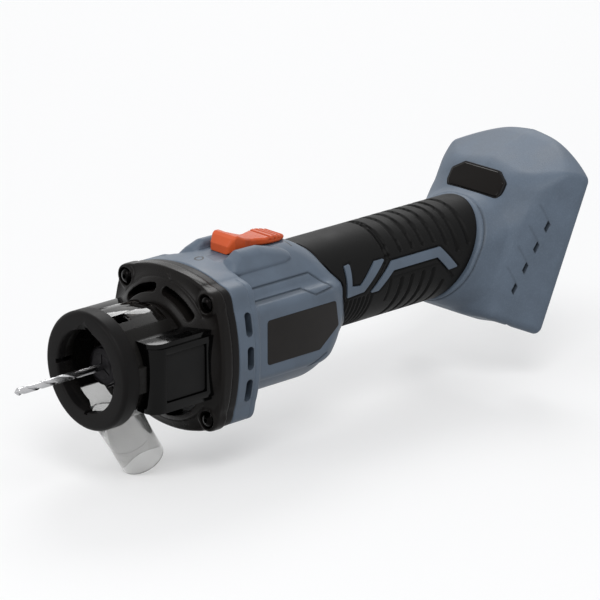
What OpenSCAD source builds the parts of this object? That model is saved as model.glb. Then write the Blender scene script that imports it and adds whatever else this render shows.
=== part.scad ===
// Cordless drywall cut out tool: a high speed spindle with a spiral bit, a sliding depth guide
// with a clear dust chute, a slim handle and a leaning foot with a bay for a slide-on battery.
// Origin: on the spindle axis at the front face of the depth guide ring. +X runs rearwards along
// the tool, +Z up, and -Y is the left side of someone who holds the tool and points it ahead.

/* [Depth guide] */
// Outer radius of the guide ring
ring_r = 25.2; // [24.2:0.1:27]
// Radius of the opening in the guide ring
ring_hole_r = 17.4; // [14:0.1:18.5]
// Length of the guide ring along the tool
ring_len = 8; // [6:0.5:9]
// Rounding of the ring's rim
ring_round = 2; // [1:0.1:2.4]
// Outer radius of the guide's barrel behind the ring
barrel_r = 22.9; // [22.6:0.1:23.4]
// Wall of the barrel
barrel_wall = 2; // [1.6:0.1:2.3]
// Place of the barrel's rear end along the tool
barrel_end = 32.5; // [31:0.5:34]
// Travel of the depth guide
guide_travel = 8; // [4:0.5:9]
// Half angle of the smoked window, from straight up
window_half_deg = 36; // [30:1:38]
// Half angle of the clear floor, from straight down
floor_half_deg = 50; // [46:1:52]

/* [Dust chute] */
// Lean of the chute, back from straight down
chute_lean = 31; // [25:1:35]
// Outer radius of the chute's spigot, where a hose slips on
spigot_r = 9.6; // [9:0.1:10]
// Length of the spigot's straight end
spigot_len = 14; // [10:0.5:16]
// Outer radius of the chute at its root
chute_root_r = 10.4; // [10.1:0.1:10.8]
// Radius of the chute's bore
chute_bore_r = 8; // [7:0.1:8.4]
// Length of the wider socket at the chute's open end, where a plug or nozzle seats
socket_len = 12; // [8:0.5:14]
// Radius of that socket
socket_r = 8.3; // [8.1:0.1:8.7]
// Distance from the spindle axis to the chute's open end, along the chute
chute_reach = 52.3; // [46:0.5:56]
// Where the chute's axis starts on the spindle axis
chute_x = 2.9; // [2:0.1:4]

/* [Spindle] */
// Radius of the spiral bit
bit_r = 1.5875; // [1.5:0.0125:1.6]
// How far the bit stands out in front of the guide ring
bit_out = 36.6; // [20:0.1:44]
// Radius of the steel spindle in its front bearing
spindle_r = 6; // [5.5:0.5:6.5]
// Radius of the rotor shaft in its rear bearing
shaft_r = 4; // [3:0.5:4.5]
// Width of the collet nut across its flats
nut_flats = 17; // [15:0.5:18]
// Radius of the notched lock ring
lock_ring_r = 10; // [9.5:0.1:10.4]

/* [Front cover] */
// Spacing of the four cover screws, in both directions
screw_pitch = 50; // [49:0.5:51]
// Radius of the corner lobes
lobe_r = 4.7; // [4.5:0.1:4.9]
// Half width of the cover at the middle of its sides
cover_half = 34.5; // [34:0.1:35]
// Front face of the cover plate along the tool
cover_x = 44.5; // [43:0.5:46]
// Thickness of the cover plate
cover_t = 5; // [4:0.5:6]
// Thickness of the ring layer behind the cover
gasket_t = 4.5; // [3.5:0.5:5]
// Radius of the cover's dome at the plate
dome_r = 32.7; // [31.5:0.1:33]
// Radius of the arc vents' centre line
arc_r = 26.4; // [26:0.1:27]
// Width of the arc vents
arc_w = 3.5; // [2.5:0.1:4]
// Outer radius of the neck that the depth guide slides over
neck_r = 20.4; // [20:0.1:20.5]
// Radius of the heads of the cover screws
head_r = 3.3; // [3:0.1:3.4]

/* [Motor housing] */
// Length of the raised band at the front of the housing
band_len = 12; // [10:0.5:13]
// Radius of the motor housing round the spindle axis
motor_r = 27.8; // [27.4:0.1:28.5]
// Radius of the housing's top, round the handle axis
top_r = 27.2; // [26.8:0.1:27.6]
// Half width over the flat side panels
side_half = 31; // [30.5:0.1:32]
// Rear face of the motor housing along the tool
body_end = 118; // [117:0.5:119]
// Wall of the housing
wall = 2.6; // [2.2:0.1:2.7]
// Height of the handle axis over the spindle axis
handle_rise = 9.3; // [8.5:0.1:10]

/* [Motor] */
// Outer radius of the stator
stator_r = 25; // [24:0.1:25]
// Length of the stator's core
stator_len = 20; // [16:0.5:20]
// Radius of the rotor with its magnets
rotor_r = 12.5; // [11:0.1:13]
// Number of stator teeth
teeth = 6; // [6:3:9]
// Radius of the fan
fan_r = 28.5; // [24:0.5:29]
// Number of fan blades
blades = 11; // [7:1:15]

/* [Handle] */
// Outer radius of the grip
grip_r = 21.2; // [20.5:0.1:22]
// Thickness of the grip's soft layer
grip_t = 2.6; // [2:0.1:3]
// Distance of the double groove behind the motor housing
groove_at = 34.8; // [33:0.1:36]
// Lean of the rim where the grip meets the foot
rim_lean = 31; // [29:0.5:33]
// Distance of that rim behind the motor housing, on the handle axis
rim_at = 79.6; // [78:0.2:81]

/* [Switch] */
// Travel of the slide switch
switch_travel = 8; // [4:0.5:8]
// Height of the slide button's ridge over the spindle axis
ridge_z = 42.3; // [41:0.1:43]
// Width of the slide button
button_w = 14; // [12:0.5:15]

/* [Side pads] */
// Travel of the two side pads
pad_travel = 2.2; // [1.5:0.1:2.2]
// Length of each pad
pad_len = 21; // [17:0.5:22]
// Height of each pad
pad_h = 20; // [17:0.5:20]

/* [Foot] */
// Lean of the foot, top end back
foot_lean = 24.7; // [20:0.1:28]
// Distance of the foot's reference point behind the motor housing, on the handle axis
foot_at = 96; // [94:0.5:98]
// Half width of the foot at its rear edge
foot_half = 40; // [38:0.5:42]
// Top of the foot over its reference point, along the lean
foot_top = 54.6; // [52:0.2:56]
// Bottom of the foot under its reference point, along the lean
foot_bottom = 29; // [28.5:0.1:31]
// Rear face of the foot behind its reference point
foot_rear = 25.6; // [24.5:0.1:27]
// Half width of the battery bay
bay_half = 33; // [31:0.5:33.5]
// Width of each rail in the bay
rail_w = 3.5; // [2.5:0.1:4]
// Thickness of the rails
rail_t = 4.5; // [3.5:0.1:5]

/* [Fits] */
// Clearance between pieces that slide on each other
slide_gap = 0.3; // [0.2:0.05:0.4]
// Clearance of a shaft in its bearing
run_gap = 0.03; // [0.01:0.01:0.1]
// Clearance of a screw in its hole
screw_gap = 0.05; // [0.02:0.01:0.2]
// Clearance of the nose tube in the cover that holds it
fit_gap = 0.02; // [0.01:0.01:0.1]

/* [Hidden] */
$fn = 64;
far = 300;                      // longer than the tool, for cutting bodies
eps = 0.01;

// Stations along the tool
gasket_x = cover_x + cover_t;
band_x = gasket_x + gasket_t;
body_x = band_x + band_len;
neck_x = barrel_end - guide_travel - 2.5;
pin_x = 30;                     // the lock pin and the release stem
front_bearing_w = 8;
front_bearing_x = cover_x + 0.5 - front_bearing_w;
front_bearing_r = 14;
rear_bearing_x = body_end - 12;
rear_bearing_w = 7;
rear_bearing_r = 11;
fan_x = band_x - 1;
fan_len = 11;
stator_x = body_x + 8;
rotor_x = stator_x - 1;
rotor_len = stator_len + 2;
coil_out = 5;                   // how far the coils stand out of the core
board_t = 1.6;
sensor_x = stator_x + stator_len + coil_out + slide_gap;
rear_wall_x = body_end - 3;
groove_x = body_end + groove_at;
rim_x = body_end + rim_at;
foot_x = body_end + foot_at;

// Radii that follow
barrel_in_r = barrel_r - barrel_wall;
screw_at = screw_pitch / 2;
screw_r = 1.95;
hole_r = screw_r + screw_gap;
fan_gap = 1.9;
band_in_r = fan_r + fan_gap;
motor_in_r = motor_r - wall;
top_in_r = top_r - wall;
grip_in_r = grip_r - grip_t;    // outside of the housing's tube in the handle
core_wall = 2.2;
core_in_r = grip_in_r - core_wall;

// Depth guide
lip_t = 4;                      // the ring's front part, ahead of the barrel's root
notch_w = 2;
notch_d = 1.2;
hole_x = 9.5;                   // the two square holes in the window
hole_len = 7.5;
hole_half = 2.6;
hole_deg = 19;
arm_y1 = 24.2;
arm_y0 = arm_y1 - 2.7;
arm_half_z = 5.5;
arm_end = barrel_end + 8.5;

// The side boxes of the nose, which hold the pads and guide the depth guide's arms
box_x = 12;
box_half_z = 13;
box_y = 29.6;
box_rail = 2;
rail_low = 1.2;                 // how much lower the edges of the boxes are than their panels
box_round = 6;
slot_floor = arm_y1 + slide_gap;
pad_y0 = slot_floor + slide_gap + pad_travel;
pad_t = 1.8;
pad_x = pin_x - 0.55 * pad_len;
stem_r = 1.2;
stem_slot = stem_r + 0.4;
release_tip = arm_y1 - 1.2;
spring_r = 1.6;
spring_in_r = 1.1;
spring_z = 8;
nose_screw_r = 1;
nose_screw_y = 26.6;
nose_screw_z = 12.5;
nose_screw_len = 9;
nose_head_r = 2 * nose_screw_r;

// Spindle
lock_notches = 12;
lock_len = 5;
lock_x = pin_x - 1.5;
notch_depth = 2.4;
notch_half = stem_r + 0.12;
pin_tip = lock_ring_r + 1;
nut_x = ring_len + 1;
nut_len = 17;
spindle_x = 18;
collet_r = spindle_r - 0.8;
collet_tail_r = spindle_r - 1.8;
collet_tail = 12;
bit_tip = 2;
bit_seat = 24;                  // the bit's inner end
magnet_t = 2.1;

// Front cover
cover_web = 2.5;
cover_wall = 2.4;
dome_slope_r = 51;              // radius of the sphere that the dome is cut from
dome_at = cover_x + sqrt(dome_slope_r * dome_slope_r - dome_r * dome_r);
head_up = 2.4;
head_seat = cover_x + 0.5;
lobe_up = 1.5;
lobe_out = 0.15;
arc_from = 7;
arc_to = 46;
arc_out = 0.05;                 // the vents' round ends stand out a little from their sides
hub_end = cover_x + 1.5;
screw_len = gasket_t + cover_t + band_len - 3;

// Motor housing
side_low = -14;
side_high = 20;
web_r = rear_bearing_r + 2.5;
rib_r = stator_r - 1.5;
rib_t = 2.3;
slot_x = body_x - 6;            // the three slots in each side of the band
slot_w = 3.4;
slot_h = 10;
slot_pitch = 14.3;
label_t = 0.8;
label_in = 0.2;
label_x = body_x + 6;
label_low = -6.8;
label_high = 12.7;
step_high = 24.5;               // the stepped lines over the label
step_low = 17.4;
edge_low = -11.5;               // the line along the lower edge
line_w = 0.8;
line_d = 0.5;
cross_r = 1.6;
cross_head = 3;
cross_head_t = 2.2;
boss_r = 4;

// The slide switch
recess_z = handle_rise + top_r - 1.9;
recess_half = button_w / 2 + 1.3;
button_x = 73;
button_len = 34;
recess_x = button_x - switch_travel - 0.5;
recess_end = button_x + button_len + 2;
button_z = recess_z + slide_gap;
stem_x0 = button_x + 11;
stem_x1 = button_x + 23;
stem_half = 2.9;
slide_floor = 3.1;              // the thick part that carries the slide
link_z = recess_z - slide_floor - slide_gap;
link_t = 1.4;
wing_t = 5.5;
module_x = body_end - 15;
module_half = 7;
module_z0 = 19.5;
module_z1 = link_z - link_t - 0.5;
lead_gap_z = 14.5;

// Inside the handle
board_x = body_end + 6;
board_len = 64;
board_half = core_in_r - 0.3;
board_z = handle_rise;
board_top = board_z + board_t;
ledge_in = 13.5;
ledge_t = 2;
sink_x = board_x + 11;
sink_len = 40;
sink_half = 12;
sink_h = 7.3;
connector_len = 8;
connector_half = 9;
connector_h = 8.6;
connector_x = board_x - 2;
cap_r = 5;
cap_len = 20;
lead_r = 1.1;
battery_lead_y = 4;
battery_lead_x = board_x + board_len - 6;
motor_lead_z = 17.5;
motor_lead_y = 5.5;
switch_lead_z = 23.3;
switch_lead_r = 0.9;
switch_lead_y = 3;

// The foot's own frame: X' behind it, Z' along its lean
front_lean = 7.9;               // the front face leans this much more
light_at = 28.2;
light_face = -0.5;
lens_proud = 0.6;
lens_t = 2.8;
foot_side = 34;                 // half width at the front
front_x = -1.5;
foot_mid = 12;                  // where the widest part begins
shoulder_z = 40;
shoulder_half = 22;
arch = 2.4;
corner_r = 9;
bay_wall = 2;
bay_floor = foot_rear - 13.6;
bay_top = 44;
foot_in = 2.2;
rim_r = grip_r + 2;
rail_x = bay_floor + 6;
block_half = 13;
block_z0 = 0;
block_z1 = 32;
block_x0 = 6;
block_x1 = bay_floor + 6;
blade_x1 = block_x1 - 1;
blade_z = -10;
light_y = 16.5;

// Round bar along the tool from x0, with its axis at height z
module bar_x(x0, len, r, z = 0, y = 0)
    translate([x0, y, z]) rotate([0, 90, 0]) cylinder(h = len, r = r);

// Round bar across the tool
module bar_y(y0, y1, r, x, z) translate([x, y0, z]) rotate([-90, 0, 0]) cylinder(h = y1 - y0, r = r);

// Tube along the tool
module tube_x(x0, len, r_out, r_in, z = 0)
    difference() {
        bar_x(x0, len, r_out, z);
        bar_x(x0 - 1, len + 2, r_in, z);
    }

// Solid of revolution round the spindle axis: children hold (x, radius) outlines
module turned() rotate([0, 90, 0]) rotate_extrude() mirror([1, -1, 0]) children();

// Outline in (y, z) drawn out along the tool
module along_x(x0, len) translate([x0, 0, 0]) rotate([90, 0, 90]) linear_extrude(len) children();

// Outline in (x, z) drawn out across the tool, from y0 towards +Y
module across_y(y0, len) translate([0, y0 + len, 0]) rotate([90, 0, 0]) linear_extrude(len) children();

// Box between two corners
module block(low, high) translate(low) cube(high - low);

// Children on the right side, and mirrored on the left
module both_sides() {
    children();
    mirror([0, 1, 0]) children();
}

// The places of the four cover screws, in (y, z) and in space
module at_screws() for (y = [-1, 1], z = [-1, 1]) translate([y * screw_at, z * screw_at]) children();
module at_cover_screws() for (y = [-1, 1], z = [-1, 1]) translate([0, y * screw_at, z * screw_at]) children();
module at_nose_screws() for (y = [-1, 1], z = [-1, 1])
    translate([0, y * nose_screw_y, z * nose_screw_z]) children();

// Square with bulging sides and a round lobe at each screw, in (y, z). The lobes stand out a
// little, so that their arcs cross those of the sides.
module squircle(half, r) {
    flat = half - r;
    shift = (2 * screw_at * screw_at - flat * flat) / (2 * (flat - screw_at));
    reach = norm([screw_at, screw_at + shift]);
    corner = (2 * screw_at + shift) * (half + shift) / reach - shift;
    intersection() {
        translate([0, -shift]) circle(r = half + shift);
        translate([0, shift]) circle(r = half + shift);
        translate([-shift, 0]) circle(r = half + shift);
        translate([shift, 0]) circle(r = half + shift);
        rotate(45) square(corner * sqrt(2), center = true);
    }
    at_screws() circle(r = r + lobe_out);
}

// Rectangle with round corners, from [x, z] low to high
module round_rect(low, high, r) {
    translate([low.x, low.y + r]) square([high.x - low.x, high.y - low.y - 2 * r]);
    translate([low.x + r, low.y]) square([high.x - low.x - 2 * r, high.y - low.y]);
    for (x = [low.x + r, high.x - r], z = [low.y + r, high.y - r]) translate([x, z]) circle(r = r);
}

// Sector from angle a0 to a1, measured from +Y towards +Z, in (y, z)
module sector(a0, a1) polygon(concat([[0, 0]],
    [for (k = [0:4]) let (a = a0 + (a1 - a0) * k / 4) far / 4 * [cos(a), sin(a)]]));

// Line through the points, w high, in two dimensions
module line(points, w) polygon(concat([for (p = points) p + [0, w / 2]],
    [for (i = [len(points) - 1:-1:0]) points[i] - [0, w / 2]]));

// Children placed in the foot's leaning frame
module in_foot() translate([foot_x, 0, handle_rise]) rotate([0, foot_lean, 0]) children();

// Children placed on the foot's front face, at the lens
module in_front() in_foot() translate([light_face, 0, light_at]) rotate([0, front_lean, 0]) children();

// Children placed on the rim where the grip meets the foot
module in_rim() translate([rim_x, 0, handle_rise]) rotate([0, rim_lean, 0]) children();

// One side of the middle plane: side -1 is the left, 1 the right
module half_space(side) translate([-far / 2, side > 0 ? 0 : -far, -far]) cube([2 * far, far, 2 * far]);

// Z along the chute's axis, from the spindle axis outwards
module on_chute() translate([chute_x, 0, 0]) rotate([0, 180 - chute_lean, 0]) children();

// Depth guide: four small notches in the ring's opening take a circle cutter's arm

module ring_notches() for (k = [0:3]) rotate([90 * k, 0, 0])
    block([-1, -notch_w / 2, ring_hole_r - 2], [ring_len + 1, notch_w / 2, ring_hole_r + notch_d]);

module guide_ring() color([0.09, 0.09, 0.09]) difference() {
    turned() difference() {
        union() {
            translate([0, ring_hole_r - 1]) square([ring_len, ring_r - ring_round - ring_hole_r + 1]);
            translate([ring_round, ring_hole_r - 1])
                square([ring_len - 2 * ring_round, ring_r - ring_hole_r + 1]);
            for (x = [ring_round, ring_len - ring_round])
                translate([x, ring_r - ring_round]) circle(r = ring_round);
        }
        translate([-1, 0]) square([ring_len + 2, ring_hole_r]);
        translate([lip_t, 0]) square([ring_len, barrel_r]);
    }
    ring_notches();
    on_chute() cylinder(h = chute_reach, r = chute_bore_r);
}

// The two grey sides of the barrel, on a root ring, with the arms that slide in the nose
module guide_frame() color([0.16, 0.16, 0.16]) difference() {
    union() {
        tube_x(lip_t, ring_len - lip_t, barrel_r, ring_hole_r);
        intersection() {
            tube_x(lip_t, barrel_end - lip_t, barrel_r, barrel_in_r);
            along_x(0, far) for (side = [0, 1]) mirror([side, 0])
                sector(floor_half_deg - 90, 90 - window_half_deg);
        }
        both_sides() difference() {
            block([lip_t, arm_y0 - 2, -arm_half_z], [arm_end, arm_y1, arm_half_z]);
            bar_x(0, far, barrel_in_r);
            block([barrel_end, 0, -far / 2], [far, arm_y0, far / 2]);
            block([0, arm_y0 - 2, -far / 2], [ring_len, far, far / 2]);
        }
    }
    ring_notches();
    both_sides() block([pin_x - stem_slot, barrel_in_r - 2, -stem_slot],
                       [pin_x + guide_travel + stem_slot, arm_y1 + 1, stem_slot]);
    on_chute() cylinder(h = chute_reach, r = chute_bore_r);
}

module guide_window() color([0.25, 0.25, 0.25, 0.6]) difference() {
    intersection() {
        tube_x(ring_len, barrel_end - ring_len, barrel_r, barrel_in_r);
        along_x(0, far) sector(90 - window_half_deg, 90 + window_half_deg);
    }
    linear_extrude(far) polygon([[barrel_end + 1, -7], [barrel_end - 2.5, 0], [barrel_end + 1, 7]]);
    for (a = [-hole_deg, hole_deg]) rotate([a, 0, 0])
        block([hole_x, -hole_half, 0], [hole_x + hole_len, hole_half, far]);
}

module dust_chute() color([0.85, 0.87, 0.88, 0.35]) difference() {
    union() {
        intersection() {
            tube_x(ring_len, barrel_end - ring_len, barrel_r, barrel_in_r);
            along_x(0, far) sector(-90 - floor_half_deg, floor_half_deg - 90);
        }
        on_chute() {
            translate([0, 0, barrel_in_r]) cylinder(h = chute_reach - spigot_len - barrel_in_r,
                                                    r1 = chute_root_r, r2 = spigot_r);
            translate([0, 0, chute_reach - spigot_len]) cylinder(h = spigot_len, r = spigot_r);
        }
    }
    bar_x(-far / 2, far, barrel_in_r);
    bar_x(-far / 2, far / 2 + ring_len, ring_r);
    on_chute() {
        cylinder(h = chute_reach + 1, r = chute_bore_r);
        translate([0, 0, chute_reach - socket_len]) cylinder(h = socket_len + 1, r = socket_r);
    }
}

// The spindle and what turns with it

module cutting_bit() color([0.75, 0.75, 0.76]) {
    bar_x(bit_tip - bit_out, bit_out + bit_seat - bit_tip, bit_r);
    translate([-bit_out, 0, 0]) rotate([0, 90, 0]) cylinder(h = bit_tip, r1 = bit_r / 4, r2 = bit_r);
}

module collet() color([0.55, 0.55, 0.57]) difference() {
    union() {
        bar_x(nut_x, spindle_x - nut_x, collet_r);
        bar_x(spindle_x, collet_tail, collet_tail_r);
    }
    bar_x(nut_x - 1, bit_seat + 1 - nut_x, bit_r);
    for (k = [0:2]) rotate([120 * k, 0, 0])
        block([nut_x - 1, -0.3, bit_r / 2], [bit_seat - 1, 0.3, collet_r + 1]);
}

module collet_nut() color([0.12, 0.12, 0.13]) difference() {
    union() {
        bar_x(nut_x, 3, nut_flats / 2 - 0.8);
        translate([nut_x + 2.5, 0, 0]) rotate([0, 90, 0])
            cylinder(h = nut_len - 2.5, r = nut_flats / sqrt(3), $fn = 6);
    }
    bar_x(nut_x - 1, nut_len + 2, collet_r);
    bar_x(spindle_x, nut_len, spindle_r);
}

module spindle() color([0.6, 0.6, 0.62]) difference() {
    union() {
        bar_x(spindle_x, hub_end - spindle_x, spindle_r);
        bar_x(spindle_x, fan_x + fan_len - spindle_x, spindle_r - 1);
        bar_x(spindle_x, rear_bearing_x + rear_bearing_w + 1 - spindle_x, shaft_r);
    }
    bar_x(spindle_x - 1, collet_tail + 1.5, collet_tail_r);
}

module lock_ring() color([0.5, 0.5, 0.52]) difference() {
    tube_x(lock_x, lock_len, lock_ring_r, spindle_r);
    for (k = [0:lock_notches - 1]) rotate([360 / lock_notches * k, 0, 0])
        block([lock_x - 1, -notch_half, lock_ring_r - notch_depth],
              [lock_x + lock_len + 1, notch_half, lock_ring_r + 1]);
}

module fan() color([0.1, 0.1, 0.1]) {
    tube_x(fan_x, fan_len, spindle_r + 2.5, spindle_r - 1);
    tube_x(fan_x + fan_len - 2, 1.5, fan_r, spindle_r + 2);
    for (k = [0:blades - 1]) rotate([360 / blades * k, 0, 0])
        block([fan_x + 0.5, -0.6, fan_r * 0.35], [fan_x + fan_len - 1.9, 0.6, fan_r - 1]);
}

module rotor_core() color([0.45, 0.45, 0.47]) tube_x(rotor_x, rotor_len, rotor_r - magnet_t, shaft_r);

module rotor_magnets() color([0.3, 0.3, 0.32]) difference() {
    tube_x(rotor_x, rotor_len, rotor_r, rotor_r - magnet_t);
    for (k = [0:3]) rotate([90 * k + 45, 0, 0])
        block([rotor_x - 1, -0.3, 0], [rotor_x + rotor_len + 1, 0.3, rotor_r + 1]);
}

// Nose and front cover

// Radius of the dome's sphere at the station x, grown outwards by grow
function dome_at_x(x, grow) = sqrt(pow(dome_slope_r + grow, 2) - pow(dome_at - x, 2));

module dome(grow) turned() polygon(concat([[cover_x, 0]],
    [for (k = [0:3]) let (x = cover_x - 7.5 * k / 3) [x, dome_at_x(x, grow)]],
    [[cover_x - 7.5, 0]]));

module arc_vents() for (flip = [0, 180], side = [0, 1]) rotate([flip, 0, 0]) mirror([0, side, 0])
    along_x(cover_x - dome_r, dome_r + cover_t) {
        intersection() {
            difference() {
                circle(r = arc_r + arc_w / 2);
                circle(r = arc_r - arc_w / 2);
            }
            sector(90 - arc_to, 90 - arc_from);
        }
        for (a = [90 - arc_to, 90 - arc_from]) translate(arc_r * [cos(a), sin(a)])
            circle(r = arc_w / 2 + arc_out);
    }

module box_outline(low) {
    translate([box_x, 0]) square([cover_x - box_x, box_y - low - box_round]);
    translate([box_x + box_round, 0]) square([cover_x - box_x - box_round, box_y - low]);
    translate([box_x + box_round, box_y - low - box_round]) circle(r = box_round);
}

// One side box of the nose before it is hollowed
module box_block() difference() {
    union() {
        translate([0, 0, -box_half_z]) linear_extrude(2 * box_half_z) box_outline(0);
        translate([0, 0, -box_half_z - box_rail])
            linear_extrude(2 * (box_half_z + box_rail)) box_outline(rail_low);
    }
    bar_x(0, far, barrel_r + slide_gap);
}

module front_cover() color([0.13, 0.13, 0.13]) difference() {
    union() {
        along_x(cover_x, cover_t) squircle(cover_half, lobe_r);
        along_x(cover_x - lobe_up, lobe_up) at_screws() circle(r = lobe_r - 0.1);
        dome(0);
    }
    // Air space behind the dome, closed at the sides by webs that the side boxes are screwed to
    difference() {
        union() {
            dome(-cover_wall);
            bar_x(cover_x - eps, far, band_in_r);
        }
        block([0, -far, -box_half_z - box_rail - cover_web],
              [cover_x + cover_web, far, box_half_z + box_rail + cover_web]);
    }
    bar_x(0, far, neck_r + fit_gap);
    arc_vents();
    // Seats of the side boxes, and room for the arms that slide in them
    both_sides() difference() {
        block([0, 0, -box_half_z - box_rail - 0.1], [cover_x, far, box_half_z + box_rail + 0.1]);
        bar_x(0, far, barrel_r + slide_gap - 0.1);
    }
    both_sides() block([0, arm_y0 - 0.5, -arm_half_z - slide_gap],
                       [arm_end + 1, far, arm_half_z + slide_gap]);
    along_x(0, far) at_screws() circle(r = hole_r);
    along_x(0, head_seat) at_screws() circle(r = head_r + 0.2);
    at_nose_screws() {
        bar_x(0, far, nose_screw_r + screw_gap);
        bar_x(cover_x + cover_web, far, nose_head_r + slide_gap);
    }
}

// Tube that the depth guide slides over; it holds the front bearing and guides the lock pin
module nose_tube() color([0.14, 0.14, 0.14]) difference() {
    bar_x(neck_x, hub_end - neck_x, neck_r);
    bar_x(0, front_bearing_x - 1.5, neck_r - 2.9);
    bar_x(0, far, spindle_r + 2);
    bar_x(front_bearing_x, far, front_bearing_r);
    bar_y(0, far, stem_r + run_gap, pin_x, 0);
}

module cover_gasket() color([0.1, 0.1, 0.1]) along_x(gasket_x, gasket_t) difference() {
    squircle(cover_half + 0.3, lobe_r + 0.1);
    circle(r = band_in_r);
    at_screws() circle(r = hole_r);
}

module nose_frame() color([0.05, 0.05, 0.05]) difference() {
    both_sides() difference() {
        box_block();
        // Slot for the depth guide's arm, and the pocket for the side pad
        block([0, 0, -arm_half_z - slide_gap], [arm_end + 1, slot_floor, arm_half_z + slide_gap]);
        block([pad_x - slide_gap, slot_floor, -pad_h / 2 - slide_gap],
              [pad_x + pad_len + slide_gap, far, pad_h / 2 + slide_gap]);
    }
    at_nose_screws() bar_x(cover_x - nose_screw_len, far, nose_screw_r + screw_gap);
}

module cover_screws() color([0.07, 0.07, 0.07]) at_cover_screws() {
    bar_x(head_seat - head_up, head_up, head_r);
    bar_x(head_seat - eps, screw_len, screw_r);
}

module nose_screws() color([0.6, 0.6, 0.6]) at_nose_screws() {
    bar_x(cover_x + cover_web + 1 - nose_screw_len, nose_screw_len - 1 + eps, nose_screw_r);
    bar_x(cover_x + cover_web, 1.2, nose_head_r);
}

// The two side pads: the right one locks the spindle, the left one frees the depth guide

module pad_right() intersection() {
    block([pad_x, pad_y0, -pad_h / 2], [pad_x + pad_len, pad_y0 + pad_t, pad_h / 2]);
    across_y(0, far) round_rect([pad_x, -pad_h / 2], [pad_x + pad_len, pad_h / 2], 1.5);
}

module lock_pad() color([0.18, 0.18, 0.18]) pad_right();

module lock_pin() color([0.6, 0.6, 0.62]) bar_y(pin_tip, pad_y0, stem_r, pin_x, 0);

module release_pad() color([0.18, 0.18, 0.18]) mirror([0, 1, 0]) {
    pad_right();
    bar_y(release_tip, pad_y0 + eps, stem_r, pin_x, 0);
}

module pad_springs() for (z = [-spring_z, spring_z]) difference() {
    bar_y(slot_floor, pad_y0, spring_r, pin_x, z);
    bar_y(slot_floor - 1, pad_y0 + 1, spring_in_r, pin_x, z);
}

module lock_springs() color([0.65, 0.65, 0.67]) pad_springs();

module release_springs() color([0.65, 0.65, 0.67]) mirror([0, 1, 0]) pad_springs();

// Housing

module motor_outline(side_y) {
    circle(r = motor_r);
    translate([0, handle_rise]) circle(r = top_r);
    round_rect([-side_y, side_low], [side_y, side_high], 4);
}

module motor_inside() {
    circle(r = motor_in_r);
    translate([0, handle_rise]) circle(r = top_in_r);
}

// Plan of the left and right label plates, in (x, z)
function label_points(g) = [
    [label_x - g, label_low - g], [body_end - 16.4 + g / 2, label_low - g], [body_end - 5.7 + g, 1.6 - g / 2],
    [body_end - 7.2 + g, label_high + g], [label_x - g, label_high + g]];

module wings() both_sides() across_y(recess_half + 0.2, wing_t) polygon([
    [body_x, 28], [body_x + 0.5, 34.3], [body_x + 5, 38.5], [body_x + 17, 38.4],
    [body_x + 30, 33.7], [body_x + 33.5, 28]]);

module rear_slab() translate([foot_mid, 0, 0]) rotate([90, 0, 90]) linear_extrude(foot_rear - foot_mid) {
    polygon(concat([[-foot_half, -foot_bottom + corner_r], [-foot_half, shoulder_z]],
        [for (k = [-2:2]) [shoulder_half * k / 2, foot_top + arch * (1 - k * k / 4)]],
        [[foot_half, shoulder_z], [foot_half, -foot_bottom + corner_r]]));
    for (y = [-1, 1]) translate([y * (foot_half - corner_r), -foot_bottom + corner_r])
        circle(r = corner_r, $fn = 32);
}

// Front outline of the foot, from the station x, drawn in by inset
module front_slab(x, inset) let (side = foot_side - inset, low = inset - foot_bottom)
    rotate([90, 0, 90]) translate([0, 0, x]) linear_extrude(1.5) polygon([
        [4 - side, low], [side - 4, low], [side, low + 5], [side, -3],
        [20 - inset, 21 - inset], [inset - 20, 21 - inset], [-side, -3], [-side, low + 5]]);

module foot_body() in_foot() hull() {
    front_slab(front_x, 0);
    block([0.4, -17, 30], [1.4, 17, 35.4]);
    rear_slab();
}

// The flare between the rim and the foot
module foot_flare() hull() {
    in_rim() rotate([0, 90, 0]) cylinder(h = 1.5, r = rim_r, $fn = 48);
    in_foot() front_slab(0, 0.6);
}

module foot_block() {
    foot_body();
    foot_flare();
}

// Plans of the two inlays that show through windows in the grip: [distance behind the housing, z]
inlay_hook = [[9.8, 20.5], [13, 20.9], [11.7, 11.9], [16.7, 11.2], [26.8, 19.3], [32.8, 19.3],
              [18.5, 8.2], [8.7, 7.5]];
inlay_stripe = [[22.2, 6.7], [27.1, 6.7], [36.4, 13.7], [62.7, 13.7], [69.3, 6.7], [74.6, 7.1],
                [65.4, 17.6], [36.3, 17.6]];

module inlays() both_sides() across_y(0, far) translate([body_end, 0])
    for (plan = [inlay_hook, inlay_stripe]) polygon(plan);

// The four screws that close the housing from the right: [x, z, y of the head's top]
foot_sin = sin(foot_lean);
foot_cos = cos(foot_lean);
function foot_point(x, z, y) = [foot_x + x * foot_cos + z * foot_sin,
                                handle_rise - x * foot_sin + z * foot_cos, y];
low_screw_y = 17.5;
grip_screw_y = grip_in_r - 5.6;
grip_screw_z = handle_rise - 12.3;
cross_screws = [
    [rear_bearing_x + 6, 8.8 - motor_r, low_screw_y], [board_x + 4, grip_screw_z, grip_screw_y],
    [board_x + 72, grip_screw_z, grip_screw_y], foot_point(6, 8 - foot_bottom, foot_side - 1)];

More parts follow.
